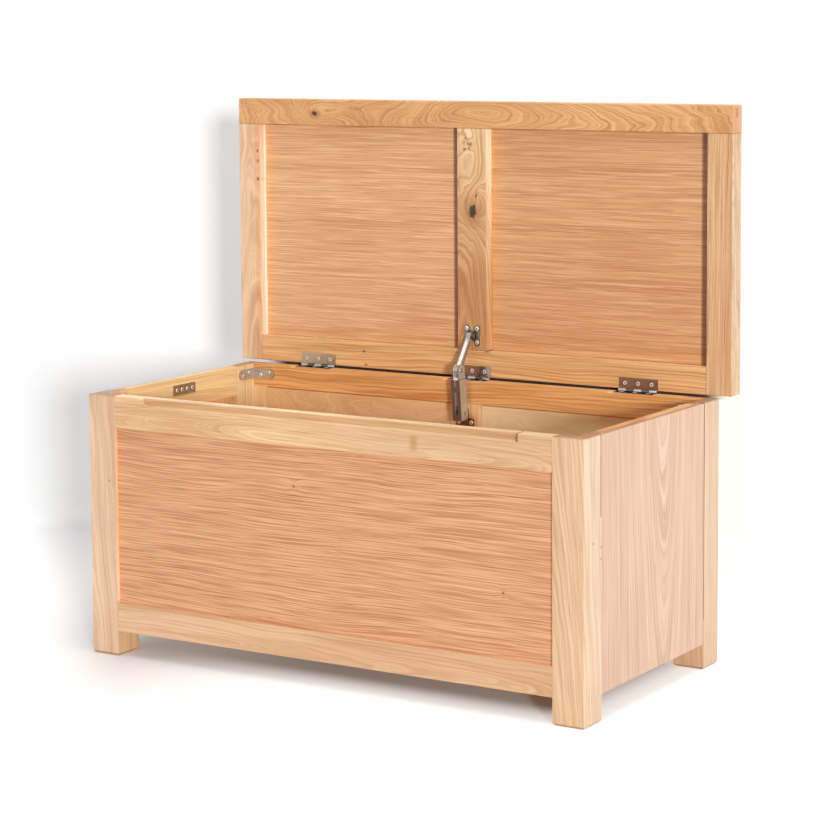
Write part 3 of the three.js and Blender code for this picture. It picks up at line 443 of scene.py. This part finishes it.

# Each board's colour and the way its figure lies. pith is where the log's middle lies, across and behind
# knots: place along and across, size, reach and push. bands: place across, width and amount
# side and top: painted light and shade on the faces that look right and up
BOARDS = {
    "front_panel": dict(
        colour=(219, 161, 117), grain="XZ", pith=(0.5, 0.24), lean=0.01, wander=0.03, rings=320.0, seed=3.1,
        ring=0.2, fine=1.1, broad=0.08, tone=0.12, pores=0.85, rough=0.46, seams="X-X+Z-Z+",
        knots=((-0.056, 0.304, 0.0011, 0.008, 0.003), (0.309, 0.182, 0.0011, 0.008, 0.003)),
        # Painted warm light along the left edge, and painted shade in the groove at the right edge and under
        # the top rail
        patches=(patch(PAINTED_WARM_LIGHT, 0.005, X=(-0.4, -0.391)),
                 patch(GROOVE_SHADE, 0.0008, X=(0.3918, 0.4)),
                 patch(GROOVE_SHADE, 0.0012, Z=(RAIL_LOW - 0.001, RAIL_LOW + 0.01)))),
    "left_side_panel": dict(
        colour=(219, 180, 149), grain="ZY", pith=(0.03, 0.5), lean=0.09, rings=190.0, seed=8.7, ring=0.3,
        contrast=0.6, side=(1.44, 1.55, 1.3)),
    "right_side_panel": dict(
        colour=(216, 178, 150), grain="ZY", pith=(-0.012, -0.375), lean=-0.085, wander=0.02, rings=200.0,
        seed=5.3, ring=0.5, broad=0.3, tone=0.2, pores=0.4, seams="Y-Y+", contrast=0.85),
    "lid_panel_left": dict(
        LID_PANEL, colour=(222, 169, 121), seed=1.9,
        bands=((0.754, 0.005, 0.25), (0.666, 0.005, 0.3), (0.583, 0.005, 0.15), (0.476, 0.006, 0.3)),
        patches=panel_edges(PANEL_LEFT, MUNTIN_LEFT)),
    "lid_panel_right": dict(
        LID_PANEL, colour=(213, 157, 108), seed=2.6,
        bands=((0.76, 0.006, 0.4), (0.668, 0.006, 0.4), (0.578, 0.005, 0.3), (0.483, 0.006, 0.35)),
        patches=panel_edges(MUNTIN_RIGHT, PANEL_RIGHT)),
    "front_top_rail": dict(
        colour=(229, 183, 136), grain="XZ", pith=(-0.38, 0.236), lean=0.05, wander=0.04, rings=200.0,
        seed=4.4, ring=0.12, broad=0.35, tone=0.4, pores=0.4, flecks=0.3, seams="X-X+", contrast=0.8,
        side=LIT_WALL_TINT, top=(1.24, 1.42, 1.7),
        # Painted shade in the finger pull and a painted shadow at its right end; a stain; a paler left and
        # greyer right stretch
        patches=(patch(PULL_SHADE, 0.0005, Y=(RAIL_FRONT + 0.002, RAIL_FRONT + 0.02),
                       Z=(RAIL_TOP - 0.02, RAIL_TOP - 0.002)),
                 patch(NOTCH_SHADOW, 0.0008, X=(PULL_END - 0.0015, PULL_END + 0.001),
                       Z=(RAIL_TOP - 0.012, RAIL_TOP)),
                 patch(STAIN, 0.01, X=(0.161, 0.163), Z=(0.384, 0.395)),
                 patch(RAIL_PALE, 0.15, X=(-0.4, -0.1)),
                 patch(RAIL_GREY, 0.15, X=(0.15, 0.4)))),
    "front_bottom_rail": dict(
        colour=(224, 179, 139), grain="XZ", pith=(-0.05, 0.25), lean=0.03, wander=0.03, rings=200.0,
        seed=6.2, ring=0.3, broad=0.5, tone=0.6, pores=0.3, seams="X-X+", contrast=0.8),
    "back_top_rail": dict(
        colour=(219, 158, 96), grain="XZ", pith=(-0.1, -0.5), lean=0.02, rings=220.0, seed=7.7, ring=0.4,
        fine=0.8, broad=0.5, tone=0.25,
        # Lighter at the rail's top edge just left of each hinge
        patches=[patch(HINGE_EDGE_LIGHTER, 0.002, X=(end - 0.008, end + 0.001), Z=(0.4165, 0.42))
                 for end in HINGE_ENDS]),
    "back_bottom_rail": dict(colour=(220, 170, 125), grain="XZ", pith=(-0.02, -0.3), seed=9.2),
    "back_muntin": dict(
        colour=(238, 188, 135), grain="ZX", pith=(0.02, -0.24), seed=10.4, wander=0.05, side=SIDE_LIGHT_TINT,
        knots=((0.352, 0.008, 0.004, 0.02, 0.01),)),
    "front_left_post": dict(
        colour=(231, 193, 159), grain="ZX", pith=(0.45, 0.27), lean=0.05, rings=210.0, seed=11.3, ring=0.25,
        pores=0.3, contrast=0.75, side=(1.05, 0.95, 0.8), ends=POST_END,
        knots=((0.282, -0.406, 0.0009, 0.008, 0.003),),
        # Painted light on the post's lit rebate wall above the foot
        patches=(patch(LIT_REBATE_WALL, 0.0005, X=(-0.3935, -0.385), Y=(-0.3, -0.225), Z=(0.09, 0.4)),)),
    "front_right_post": dict(
        colour=(227, 186, 147), grain="ZX", pith=(-0.3, 0.4), lean=0.06, rings=260.0, seed=12.8, ring=0.4,
        fine=0.6, tone=0.3, contrast=0.8, side=(0.98, 1.07, 1.22), ends=POST_END,
        patches=(patch(SEAM, 0.0008, Y=(-0.1895, -0.1875), Z=(0.3, 0.5)),
                 patch(SPECK, 0.0012, Y=(-0.2125, -0.21), Z=(0.2635, 0.2657)),
                 patch(SPECK, 0.0012, Y=(-0.189, -0.187), Z=(0.2545, 0.2565)),
                 patch(SPECK, 0.0012, Y=(-0.189, -0.187), Z=(0.238, 0.24)))),
    "back_left_post": dict(
        colour=(248, 202, 150), grain="ZX", pith=(0.42, -0.15), seed=13.4, contrast=0.8, side=SIDE_LIGHT_TINT,
        ends=POST_END),
    "back_right_post": dict(
        colour=(226, 183, 144), grain="ZY", pith=(-0.1, -0.4), seed=14.9, wander=0.015, contrast=0.7,
        side=(0.93, 1.03, 1.14), ends=POST_END,
        patches=(patch(SEAM, 0.0008, Y=(0.15, 0.152), Z=(0.08, 0.5)),)),
    "left_side_top_rail": dict(
        colour=(255, 208, 153), grain="YZ", pith=(-0.3, 0.46), seed=15.5, ring=0.35, contrast=0.7,
        seams="X-", top=(1.0, 1.05, 1.1)),
    "right_side_top_rail": dict(
        colour=(214, 160, 108), grain="YZ", pith=(-0.3, -0.45), seed=16.1, ring=0.35, seams="X+"),
    "left_side_bottom_rail": dict(colour=(230, 180, 130), grain="YZ", pith=(0.0, 0.46), seed=17.3),
    "right_side_bottom_rail": dict(colour=(225, 175, 128), grain="YZ", pith=(0.0, -0.45), seed=18.6),
    "floor_cleat_front": dict(colour=(220, 170, 120), grain="XZ", pith=(0.0, 0.25), seed=19.4),
    "floor_cleat_back": dict(colour=(220, 170, 120), grain="XZ", pith=(0.0, -0.2), seed=20.2),
    "lid_front_rail": dict(
        colour=(217, 163, 109), grain="XZ", pith=(-0.85, -0.21), lean=0.2, wander=0.05, rings=400.0,
        seed=21.7, ring=0.06, broad=0.2, tone=0.4, pores=0.4, curl=0.0022, line=0.6,
        side=SIDE_LIGHT_TINT, top=UNTINTED, ends=(0.95, 0.85, 0.78),
        knots=((-0.307, 0.848, 0.0042, 0.03, 0.012),),
        patches=(patch(RED_CORNER, 0.002, X=(0.4635, 0.47), Y=(0.216, 0.222), Z=(0.853, 0.866)),)),
    "lid_back_rail": dict(
        colour=(222, 172, 116), grain="XZ", pith=(-0.1, -0.4), lean=0.02, rings=210.0, seed=22.3,
        fine=0.8, tone=0.3, seams="X-X+",
        knots=((-0.212, 0.4495, 0.0014, 0.006, 0.002), (-0.208, 0.4265, 0.0014, 0.006, 0.002),
               (0.028, 0.465, 0.0012, 0.006, 0.002))),
    "lid_left_stile": dict(
        colour=(233, 192, 153), grain="ZX", pith=(0.43, -0.15), lean=0.03, rings=240.0, seed=23.6, ring=0.35,
        fine=0.7, tone=0.3, pores=0.3, contrast=0.8, seams="Z+", side=LIT_WALL_TINT, top=UNTINTED,
        knots=((0.782, -0.4262, 0.0015, 0.008, 0.003), (0.734, -0.4258, 0.0017, 0.008, 0.003),
               (0.765, -0.4258, 0.0012, 0.008, 0.002)),
        # A warm edge by the panel, and a painted highlight line on the stile's inner wall
        patches=(patch(WARM_EDGE, 0.002, X=(PANEL_LEFT - 0.009, PANEL_LEFT - 0.001), Y=(0.2, 0.21)),
                 patch(PAINTED_HIGHLIGHT_LINE, 0.001, X=(PANEL_LEFT - 0.001, PANEL_LEFT + 0.01), Y=(0.2195, 0.23)))),
    "lid_right_stile": dict(
        colour=(214, 168, 122), grain="ZX", pith=(-0.28, -0.3), lean=0.02, wander=0.02, rings=240.0,
        seed=24.2, ring=0.25, fine=0.7, broad=0.3, tone=0.3, pores=0.6, curl=0.003, seams="Z+",
        side=(1.05, 1.2, 1.42)),
    "lid_muntin": dict(
        colour=(222, 177, 130), grain="ZX", pith=(0.02, -0.19), lean=0.06, wander=0.04, rings=240.0,
        seed=25.9, ring=0.1, fine=0.4, tone=0.5, pores=0.4, curl=0.0015, line=0.9, contrast=1.05,
        seams="Z-Z+", side=(1.3, 1.65, 2.1),
        patches=(patch(MUNTIN_LOW, 0.07, Z=(0.43, 0.58)), patch(MUNTIN_HIGH, 0.05, Z=(0.76, 0.87))),
        knots=((0.692, 0.002, 0.0088, 0.035, 0.022), (0.699, 0.0065, 0.005, 0.02, 0.008),
               (0.718, 0.014, 0.0034, 0.016, 0.008), (0.812, -0.011, 0.0012, 0.006, 0.002),
               (0.8025, -0.0055, 0.0016, 0.007, 0.002), (0.802, 0.0, 0.0014, 0.006, 0.002),
               (0.796, -0.0046, 0.0014, 0.006, 0.002), (0.794, -0.015, 0.0012, 0.006, 0.002))),
    "back_panel_left": dict(
        PLYWOOD, colour=(255, 204, 150), grain="XZ", pith=(-0.25, -0.4), lean=0.12, rings=70.0, seed=31.0,
        fine=0.4, broad=0.5, contrast=0.6, patches=(UNDER_RAIL,)),
    "back_panel_right": dict(
        PLYWOOD, colour=(255, 224, 176), grain="XZ", pith=(-0.25, -0.4), lean=-0.1, rings=70.0, seed=32.0,
        fine=0.3, contrast=0.4, patches=(UNDER_RAIL,)),
    "floor_panel": dict(
        PLYWOOD, colour=(226, 182, 134), grain="XY", pith=(0.02, 0.3), lean=0.1, rings=50.0, seed=33.0,
        fine=0.4, broad=0.5, contrast=0.6),
}

# Brushed lines and clouds on metal, as noise scales to a metre
BRUSHED_SCALES, BRUSHED_SHARE = (900.0, 60.0, 900.0), 0.12
CLOUD_SCALES, CLOUD_SPAN, CLOUD_TINT = (70.0, 70.0, 70.0), (0.3, 0.7), 0.9
# Soft widths of the painted light on a stripe and on a left wall
LIT_STRIPE_SOFT, LIT_LINING_SOFT = 0.0003, 0.001


def metal(name, colour, rough, metallic=1.0, rim=UNTINTED, wall_light_shade=UNTINTED, lit_lining=None, lit_stripe=None):
    """Plated or drawn steel with a faint brushed tone. Faces that look left or right take painted light
    where their factors are above one and painted shade where below; a left wall that looks right and a
    stripe can take painted light; rim tints the grazing reflection.
    """
    material, tree = new_material(name)
    shader = tree.nodes["Principled BSDF"]
    spot = add(tree, "ShaderNodeTexCoord")
    place = split(tree, spot.outputs["Object"])
    facing = split(tree, spot.outputs["Normal"])
    lines = stretched(tree, place, BRUSHED_SCALES)
    cloud = stretched(tree, place, CLOUD_SCALES, 3.0)
    darker = tuple(c * CLOUD_TINT for c in colour)
    shade = blend(tree, span(tree, cloud, *CLOUD_SPAN), rgb(colour), rgb(darker))
    shade = tinted(tree, span(tree, calc(tree, "ABSOLUTE", facing[0]), *FACE_SPAN), shade, wall_light_shade)
    # Painted light on a left wall that looks right, and on a stripe
    if lit_lining:
        on_left = falling(tree, place[0], -LIT_LINING_SOFT, 0.0)
        on_lit_lining = times(tree, span(tree, facing[0], *FACE_SPAN), on_left)
        shade = blend(tree, on_lit_lining, shade, rgb(lit_lining))
    if lit_stripe:
        limits, lit_stripe_colour = lit_stripe
        shade = blend(tree, inside(tree, place, limits, LIT_STRIPE_SOFT), shade, rgb(lit_stripe_colour))
    give(tree, shader.inputs["Base Color"], shade)
    rubbed = times(tree, minus(tree, lines, 0.5), BRUSHED_SHARE)
    give(tree, shader.inputs["Roughness"], plus(tree, rough, rubbed))
    give(tree, shader.inputs["Metallic"], metallic)
    give(tree, shader.inputs["Specular Tint"], rgb(rim))
    return material


nickel = metal("satin nickel", (0.5, 0.47, 0.45), 0.19)
bright = metal("bright screw zinc", (0.95, 0.95, 0.93), 0.34, metallic=0.4)
# Screw recesses and the rings round the heads: a dark material of painted shade
recess_shade_steel = metal("painted recess shade", (0.05, 0.045, 0.04), 0.5, metallic=0.4)
# Hinge fixed leaves and pins: nickel darkened with painted shade, its grazing reflection darkened too
painted_shade_nickel = metal("painted shade nickel", (0.14, 0.12, 0.1), 0.22, rim=(0.25, 0.22, 0.2))
# Stay brackets: nickel darkened and browned, painted shade and a painted reflection of the oak
bracket_shade_nickel = metal("brown painted shade nickel", (0.26, 0.215, 0.18), 0.2, rim=(0.4, 0.35, 0.3))
brace_steel = metal("zinc brace", (0.5, 0.44, 0.37), 0.3)
# The housing's sides take painted light and the arm's sides painted shade; both have painted light on a left
# wall, the arm on its pocket floor too
housing_lit_nickel = metal("nickel with painted light and shade", (0.2, 0.155, 0.12), 0.42, metallic=0.6, wall_light_shade=(3.0, 3.7, 4.2),
                       lit_lining=(0.9, 0.88, 0.85))
arm_nickel = metal("bright nickel", (0.48, 0.44, 0.4), 0.3, metallic=0.45, wall_light_shade=(0.82, 0.7, 0.57),
                   lit_lining=(0.95, 0.93, 0.9),
                   lit_stripe=({"X": (-0.0025, 0.0025), "Z": (0.446, 0.4845)}, (1.0, 0.98, 0.95)))
spring_steel = metal("drawn spring steel", (0.95, 0.94, 0.92), 0.4, metallic=0.1)

STAY_METALS = {
    "stay_spring": spring_steel,
    "stay_plunger": spring_steel,
    "stay_lid_bracket": bracket_shade_nickel,
    "stay_foot_bracket": bracket_shade_nickel,
    "stay_housing": housing_lit_nickel,
    "stay_arm": arm_nickel,
}


def fitting_metal(name):
    if name.startswith("hinge_"):
        return nickel if name.endswith("lid_leaf") else painted_shade_nickel
    if name.startswith(("corner_brace", "side_plate")):
        return brace_steel
    return STAY_METALS.get(name, nickel)


for name, piece in nodes.items():
    made = oak(name, **BOARDS[name]) if name in BOARDS else fitting_metal(name)
    piece.data.materials.clear()
    piece.data.materials.append(made)
    for polygon in piece.data.polygons:
        polygon.use_smooth = False


def mesh_from(name, bm):
    mesh = bpy.data.meshes.new(name)
    bm.to_mesh(mesh)
    bm.free()
    return mesh


def in_scene(name, data):
    """A new object in the scene."""
    made = bpy.data.objects.new(name, data)
    bpy.context.scene.collection.objects.link(made)
    return made


# Screws: raised heads whose cross recess and outer ring take a dark material, painted shade. Measures in
# millimetres, the profile as radius and height
MM = 0.001
HEAD_SIDES = 24
HEAD_PROFILE = ((1.9, -1.2), (4.1, 0.06), (3.4, 0.12), (3.3, 0.3), (3.0, 0.6), (2.4, 0.78))
CROSS_REACH, CROSS_ARM, CROSS_DEPTH, CROSS_TAPER = 2.0, 0.55, 1.1, 0.7
# How far a head stands proud, as a share of the profile, and how the turn of its cross goes on
RAISED, FLUSH = 1.0, 0.13
SPIN_GROWS, SPIN_STEP = 0.9, 0.3


def ring_of(bm, points, height):
    return [bm.verts.new((x * MM, y * MM, height * MM)) for x, y in points]


def close(bm, lower, upper):
    """Faces between two loops, one above the other."""
    faces = []
    for i in range(len(lower)):
        after = (i + 1) % len(lower)
        faces.append(bm.faces.new((lower[i], lower[after], upper[after], upper[i])))
    return faces


def between(bm, outer, inner):
    """Fills the flat area between two loops."""
    edges = []
    for loop in (outer, inner):
        for one, other in zip(loop, loop[1:] + loop[:1]):
            edges.append(bm.edges.get((one, other)) or bm.edges.new((one, other)))
    bmesh.ops.triangle_fill(bm, use_beauty=True, edges=edges, normal=(0, 0, 1))


def screw(bm, place, facing, rise, spin):
    """Adds one screw head at place, its top looking along facing. rise scales how far it stands proud."""
    part = bmesh.new()
    profile = [(radius, height * rise if height > 0 else height) for radius, height in HEAD_PROFILE]
    angles = [math.tau * i / HEAD_SIDES for i in range(HEAD_SIDES)]
    circle = [(math.cos(angle), math.sin(angle)) for angle in angles]
    rings = []
    for radius, height in profile:
        rings.append(ring_of(part, [(x * radius, y * radius) for x, y in circle], height))
    part.faces.new(rings[0][::-1])
    for i, (lower, upper) in enumerate(zip(rings, rings[1:])):
        for face in close(part, lower, upper):
            face.smooth = i > 1
            # The ring round the head takes the dark material, a painted shadow
            face.material_index = int(i < 2)
    reach, arm, top = CROSS_REACH, CROSS_ARM, profile[-1][1]
    quarter = [(reach, -arm), (reach, arm), (arm, arm)]
    cross = []
    for _ in range(4):
        cross += quarter
        quarter = [(-y, x) for x, y in quarter]
    mouth = ring_of(part, cross, top)
    pit = ring_of(part, [(x * CROSS_TAPER, y * CROSS_TAPER) for x, y in cross], top - CROSS_DEPTH)
    # The cross recess takes the dark material, painted shade
    for face in close(part, mouth, pit) + [part.faces.new(pit)]:
        face.material_index = 1
    between(part, rings[-1], mouth)
    turned = Vector(facing).to_track_quat("Z", "Y").to_matrix().to_4x4()
    part.transform(Matrix.Translation(place) @ turned @ Matrix.Rotation(spin, 4, "Z"))
    bmesh.ops.recalc_face_normals(part, faces=part.faces)
    mesh = mesh_from("screw", part)
    bm.from_mesh(mesh)
    bpy.data.meshes.remove(mesh)


def screws(name, body, places):
    bm = bmesh.new()
    for i, (place, facing, rise) in enumerate(places):
        screw(bm, place, facing, rise, SPIN_GROWS * i * i + SPIN_STEP * i)
    mesh = mesh_from(name, bm)
    made = in_scene(name, mesh)
    mesh.materials.append(bright)
    mesh.materials.append(recess_shade_steel)
    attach(made, body)


# Where the screws sit, in metres. Steps and holes are counted from a fitting's middle, corner or top
UP, TO_FRONT = (0, 0, 1), (0, -1, 0)
BODY_MIDDLE_Y = -0.017
LEAF_STEP, FIXED_LEAF_Y, FIXED_LEAF_Z, LID_LEAF_Y, LID_LEAF_Z = 0.0235, 0.19323, 0.4186, 0.2054, 0.43078
CORNER_X, CORNER_Y, BRACE_SHEET, BRACE_Z, BRACE_STAGGER = 0.4227, 0.1987, 0.002, 0.4017, 0.0024
BRACE_HOLES = ((0.016, BRACE_STAGGER), (0.033, -BRACE_STAGGER))
PLATE_X, PLATE_Z, PLATE_STEP, PLATE_HOLES = 0.4211, 0.399, 0.014, (-1.5, -0.5, 0.5, 1.5)
LID_BRACKET_X, LID_BRACKET_Y, LID_BRACKET_Z, LID_BRACKET_HOLES = 0.0101, 0.2042, 0.4896, (-0.0115, 0.0115)
FOOT_X, FOOT_Y, FOOT_Z, FOOT_HOLES = 0.012, 0.1812, 0.36615, (0.017, 0.029)
carcass_places, lid_places = [], []
for side in HINGE_SIDES:
    low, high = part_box(f"hinge_{side}_fixed_leaf")
    middle = (low.x + high.x) / 2
    for step in (-LEAF_STEP, 0.0, LEAF_STEP):
        carcass_places.append(((middle + step, FIXED_LEAF_Y, FIXED_LEAF_Z), UP, FLUSH))
        lid_places.append(((middle + step, LID_LEAF_Y, LID_LEAF_Z), TO_FRONT, FLUSH))
for side in (-1, 1):
    for end in (-1, 1):
        for along, across in BRACE_HOLES:
            hole_x = side * (CORNER_X - along)
            face_y = BODY_MIDDLE_Y + end * (CORNER_Y - BRACE_SHEET)
            carcass_places.append(((hole_x, face_y, BRACE_Z - across), (0, -end, 0), RAISED))
            face_x = side * (CORNER_X - BRACE_SHEET)
            hole_y = BODY_MIDDLE_Y + end * (CORNER_Y - along)
            carcass_places.append(((face_x, hole_y, BRACE_Z + across), (-side, 0, 0), RAISED))
    for hole in PLATE_HOLES:
        hole_y = BODY_MIDDLE_Y + hole * PLATE_STEP
        carcass_places.append(((side * PLATE_X, hole_y, PLATE_Z), (-side, 0, 0), RAISED))
    for up in LID_BRACKET_HOLES:
        lid_places.append(((side * LID_BRACKET_X, LID_BRACKET_Y, LID_BRACKET_Z + up), TO_FRONT, RAISED))
    for down in FOOT_HOLES:
        carcass_places.append(((side * FOOT_X, FOOT_Y, FOOT_Z - down), TO_FRONT, RAISED))
screws("carcass_screws", "carcass", carcass_places)
screws("lid_screws", "lid", lid_places)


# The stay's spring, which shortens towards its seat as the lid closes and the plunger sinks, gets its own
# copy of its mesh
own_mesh(nodes["stay_spring"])


# Studio: a white floor that sweeps up into a wall, which is clear from behind
WALL, CURVE, CURVE_STEPS, REACH, FRONT, TOP = 0.55, 0.06, 12, 7.0, -8.0, 4.5
PAPER = (0.9, 0.9, 0.9)
# The paper is lifted a little where the camera sees it, so that the object's shadow stays darker than white;
# the lift fades to nought towards the chest's footprint, painted shade under and beside the chest
FOOTPRINT_LEFT, FOOTPRINT_RIGHT, FOOTPRINT_Y = -0.41, 0.34, 0.142
FLOOR_REACH, FLOOR_GLOW, FAR_STARTS, FAR_FULL, FAR_GLOW = 0.08, 0.5, 1.2, 2.6, 0.45
# A painted shadow of the key: the floor's lift is cut in a band that runs to the left from this corner of
# the chest
CORNER_AT, KEY_SLOPE, SHADE_SOFT, SHADE_GLOW = (-0.49, -0.25), 0.925, 0.12, 0.1
SHADE_ENDS, SHADE_FULL, SHADE_FADES, SHADE_GONE = -2.2, -1.1, -0.445, 0.0
# Heights where the wall begins, and the wall's glow on the left and, from the second limits on, on the
# right, where the stronger glow is painted light over the lid's shadow on the wall
WALL_SPAN, WALL_GLOW, RIGHT_SPAN, RIGHT_SHADOW_WASH = (0.002, 0.03), 0.2, (0.3, 0.5), 0.6
# A dark card of painted shade behind the slot between carcass and lid, standing in for the shade there, seen
# only from the front and only through the slot
CARD_LEFT, CARD_FADE, CARD_RIGHT, CARD_Y, CARD_LOW, CARD_TOP = -0.39, 0.05, 0.4, 0.2395, 0.4105, 0.4175
SHADE_CARD_COLOUR = (0.05, 0.045, 0.05)


def seen_directly(tree):
    """One for the camera's own rays and for those that a mirror or glass sends on."""
    ray = add(tree, "ShaderNodeLightPath")
    mirrored = larger(tree, ray.outputs["Is Glossy Ray"], ray.outputs["Is Transmission Ray"])
    return larger(tree, ray.outputs["Is Camera Ray"], mirrored)


def paper_tree(name):
    """An empty material, its tree, the values of its places and one where it is seen from behind."""
    material, tree = new_material(name)
    tree.nodes.clear()
    place = split(tree, add(tree, "ShaderNodeTexCoord").outputs["Object"])
    return material, tree, place, add(tree, "ShaderNodeNewGeometry").outputs["Backfacing"]


def mix_out(tree, share, one, other):
    """Shows one shader where share is nought and the other where it is one."""
    pick = add(tree, "ShaderNodeMixShader", {0: share, 1: one.outputs[0], 2: other.outputs[0]})
    add(tree, "ShaderNodeOutputMaterial", {0: pick.outputs[0]})


def stage_glow(tree, x, y, z):
    """How much the paper is lifted at a place, with painted shade near the chest, a painted shadow band and
    painted light on the wall's right.
    """
    off_x = larger(tree, minus(tree, x, FOOTPRINT_RIGHT), minus(tree, FOOTPRINT_LEFT, x))
    off_x = larger(tree, off_x, 0.0)
    off_y = larger(tree, minus(tree, calc(tree, "ABSOLUTE", y), FOOTPRINT_Y), 0.0)
    away = length(tree, off_x, off_y)
    floor_glow = span(tree, away, 0.0, FLOOR_REACH, 0.0, FLOOR_GLOW)
    # The painted shadow band: beyond this line the floor's lift drops to the shadow's own glow
    beyond = times(tree, minus(tree, y, CORNER_AT[1]), KEY_SLOPE)
    behind = plus(tree, minus(tree, x, CORNER_AT[0]), beyond)
    in_shade = span(tree, behind, -SHADE_SOFT, SHADE_SOFT)
    in_shade = times(tree, in_shade, falling(tree, x, SHADE_FADES, SHADE_GONE))
    in_shade = times(tree, in_shade, span(tree, x, SHADE_ENDS, SHADE_FULL))
    lit_glow = times(tree, floor_glow, minus(tree, 1.0, in_shade))
    floor_glow = plus(tree, lit_glow, times(tree, in_shade, SHADE_GLOW))
    floor_glow = plus(tree, floor_glow, span(tree, away, FAR_STARTS, FAR_FULL, 0.0, FAR_GLOW))
    wall_glow = span(tree, x, *RIGHT_SPAN, WALL_GLOW, RIGHT_SHADOW_WASH)
    on_wall = span(tree, z, *WALL_SPAN)
    return plus(tree, times(tree, floor_glow, minus(tree, 1.0, on_wall)), times(tree, on_wall, wall_glow))


def stage_material():
    material, tree, place, backfacing = paper_tree("white paper")
    strength = times(tree, seen_directly(tree), stage_glow(tree, *place))
    paper = add(tree, "ShaderNodeBsdfDiffuse", {"Color": rgb(PAPER)})
    shine = add(tree, "ShaderNodeEmission", {"Color": (1, 1, 1, 1), "Strength": strength})
    both = add(tree, "ShaderNodeAddShader", {0: paper.outputs[0], 1: shine.outputs[0]})
    mix_out(tree, backfacing, both, add(tree, "ShaderNodeBsdfTransparent"))
    return material


# The card's material: dark, painted shade, clear from behind and at its faded ends
def shade_card_material():
    material, tree, place, backfacing = paper_tree("painted shade card")
    starts = span(tree, place[0], CARD_LEFT - CARD_FADE, CARD_LEFT)
    held = times(tree, starts, falling(tree, place[0], CARD_RIGHT, CARD_RIGHT + CARD_FADE))
    share = times(tree, held, minus(tree, 1.0, backfacing))
    paper = add(tree, "ShaderNodeBsdfDiffuse", {"Color": rgb(SHADE_CARD_COLOUR)})
    mix_out(tree, share, add(tree, "ShaderNodeBsdfTransparent"), paper)
    return material


def show_stage(name, bm, material):
    mesh = mesh_from(name, bm)
    made = in_scene(name, mesh)
    mesh.materials.append(material)
    for polygon in mesh.polygons:
        polygon.use_smooth = True


def sweep():
    """The floor and the wall in one curve."""
    turns = [math.pi / 2 * i / CURVE_STEPS for i in range(CURVE_STEPS + 1)]
    profile = [(FRONT, 0.0)]
    profile += [(WALL - CURVE + CURVE * math.sin(a), CURVE - CURVE * math.cos(a)) for a in turns]
    profile.append((WALL, TOP))
    bm = bmesh.new()
    rows = [[bm.verts.new((x, y, z)) for y, z in profile] for x in (-REACH, REACH)]
    for i in range(len(profile) - 1):
        bm.faces.new((rows[0][i], rows[1][i], rows[1][i + 1], rows[0][i + 1]))
    show_stage("sweep", bm, stage_material())


# The card itself, a sheet of painted shade
def card():
    left, right = CARD_LEFT - CARD_FADE, CARD_RIGHT + CARD_FADE
    corners = ((left, CARD_LOW), (right, CARD_LOW), (right, CARD_TOP), (left, CARD_TOP))
    bm = bmesh.new()
    bm.faces.new([bm.verts.new((x, CARD_Y, z)) for x, z in corners])
    show_stage("card", bm, shade_card_material())


sweep()
card()

# Light: a pale world, a key far off to the right of the camera and a soft one from above
AMBIENT = 0.22
LIT = (0.0, 0.0, 0.45)
# Each lamp's name, place, size and irradiance
LAMPS = (("key", (12.7, -14.0, 2.66), 1.9, 0.62), ("top", (0.3, -0.7, 3.0), 2.2, 0.55))


def world():
    made = bpy.data.worlds.new("studio")
    bpy.context.scene.world = made
    made.use_nodes = True
    tree = made.node_tree
    back = tree.nodes["Background"]
    give(tree, back.inputs["Color"], (1, 1, 1, 1))
    give(tree, back.inputs["Strength"], plus(tree, AMBIENT, times(tree, seen_directly(tree), 1.0 - AMBIENT)))


def lamp(name, place, size, irradiance):
    """A square area lamp on the middle of the chest, where an irradiance of 1 shows white as white."""
    data = bpy.data.lights.new(name, "AREA")
    data.shape = "SQUARE"
    data.size = size
    gap = (Vector(place) - Vector(LIT)).length
    data.energy = irradiance * math.pi * math.pi * gap * gap
    made = in_scene(name, data)
    made.location = place
    made.rotation_euler = (Vector(LIT) - Vector(place)).to_track_quat("-Z", "Y").to_euler()


world()
for name, place, size, irradiance in LAMPS:
    lamp(name, place, size, irradiance)

# Camera, from the fit to the photograph. Its focal length and centre are in the photograph's pixels
YAW, PITCH, ROLL = 0.556883595, 0.103353373, -0.00669859020
CAMERA_AT = (2.10744701, -3.33503137 + BODY_MIDDLE_Y, 1.00987763)
FOCAL, CENTRE_Y, IMAGE, SENSOR, FAR_CLIP = 2543.62763, 280.0, 832, 36.0, 50.0
ahead = Vector((-math.sin(YAW) * math.cos(PITCH), math.cos(YAW) * math.cos(PITCH), -math.sin(PITCH)))
right = Vector((math.cos(YAW), math.sin(YAW), 0.0))
up = right.cross(ahead)
right_rolled = right * math.cos(ROLL) + up * math.sin(ROLL)
up_rolled = up * math.cos(ROLL) - right * math.sin(ROLL)
camera_data = bpy.data.cameras.new("camera")
camera = in_scene("camera", camera_data)
turn = Matrix((right_rolled, up_rolled, -ahead)).transposed().to_4x4()
camera.matrix_world = Matrix.Translation(CAMERA_AT) @ turn
camera_data.sensor_fit = "HORIZONTAL"
camera_data.sensor_width = SENSOR
camera_data.lens = FOCAL / IMAGE * SENSOR
camera_data.shift_y = (CENTRE_Y - IMAGE / 2) / IMAGE
camera_data.clip_end = FAR_CLIP
bpy.context.scene.camera = camera

bpy.context.scene.view_settings.view_transform = "Standard"
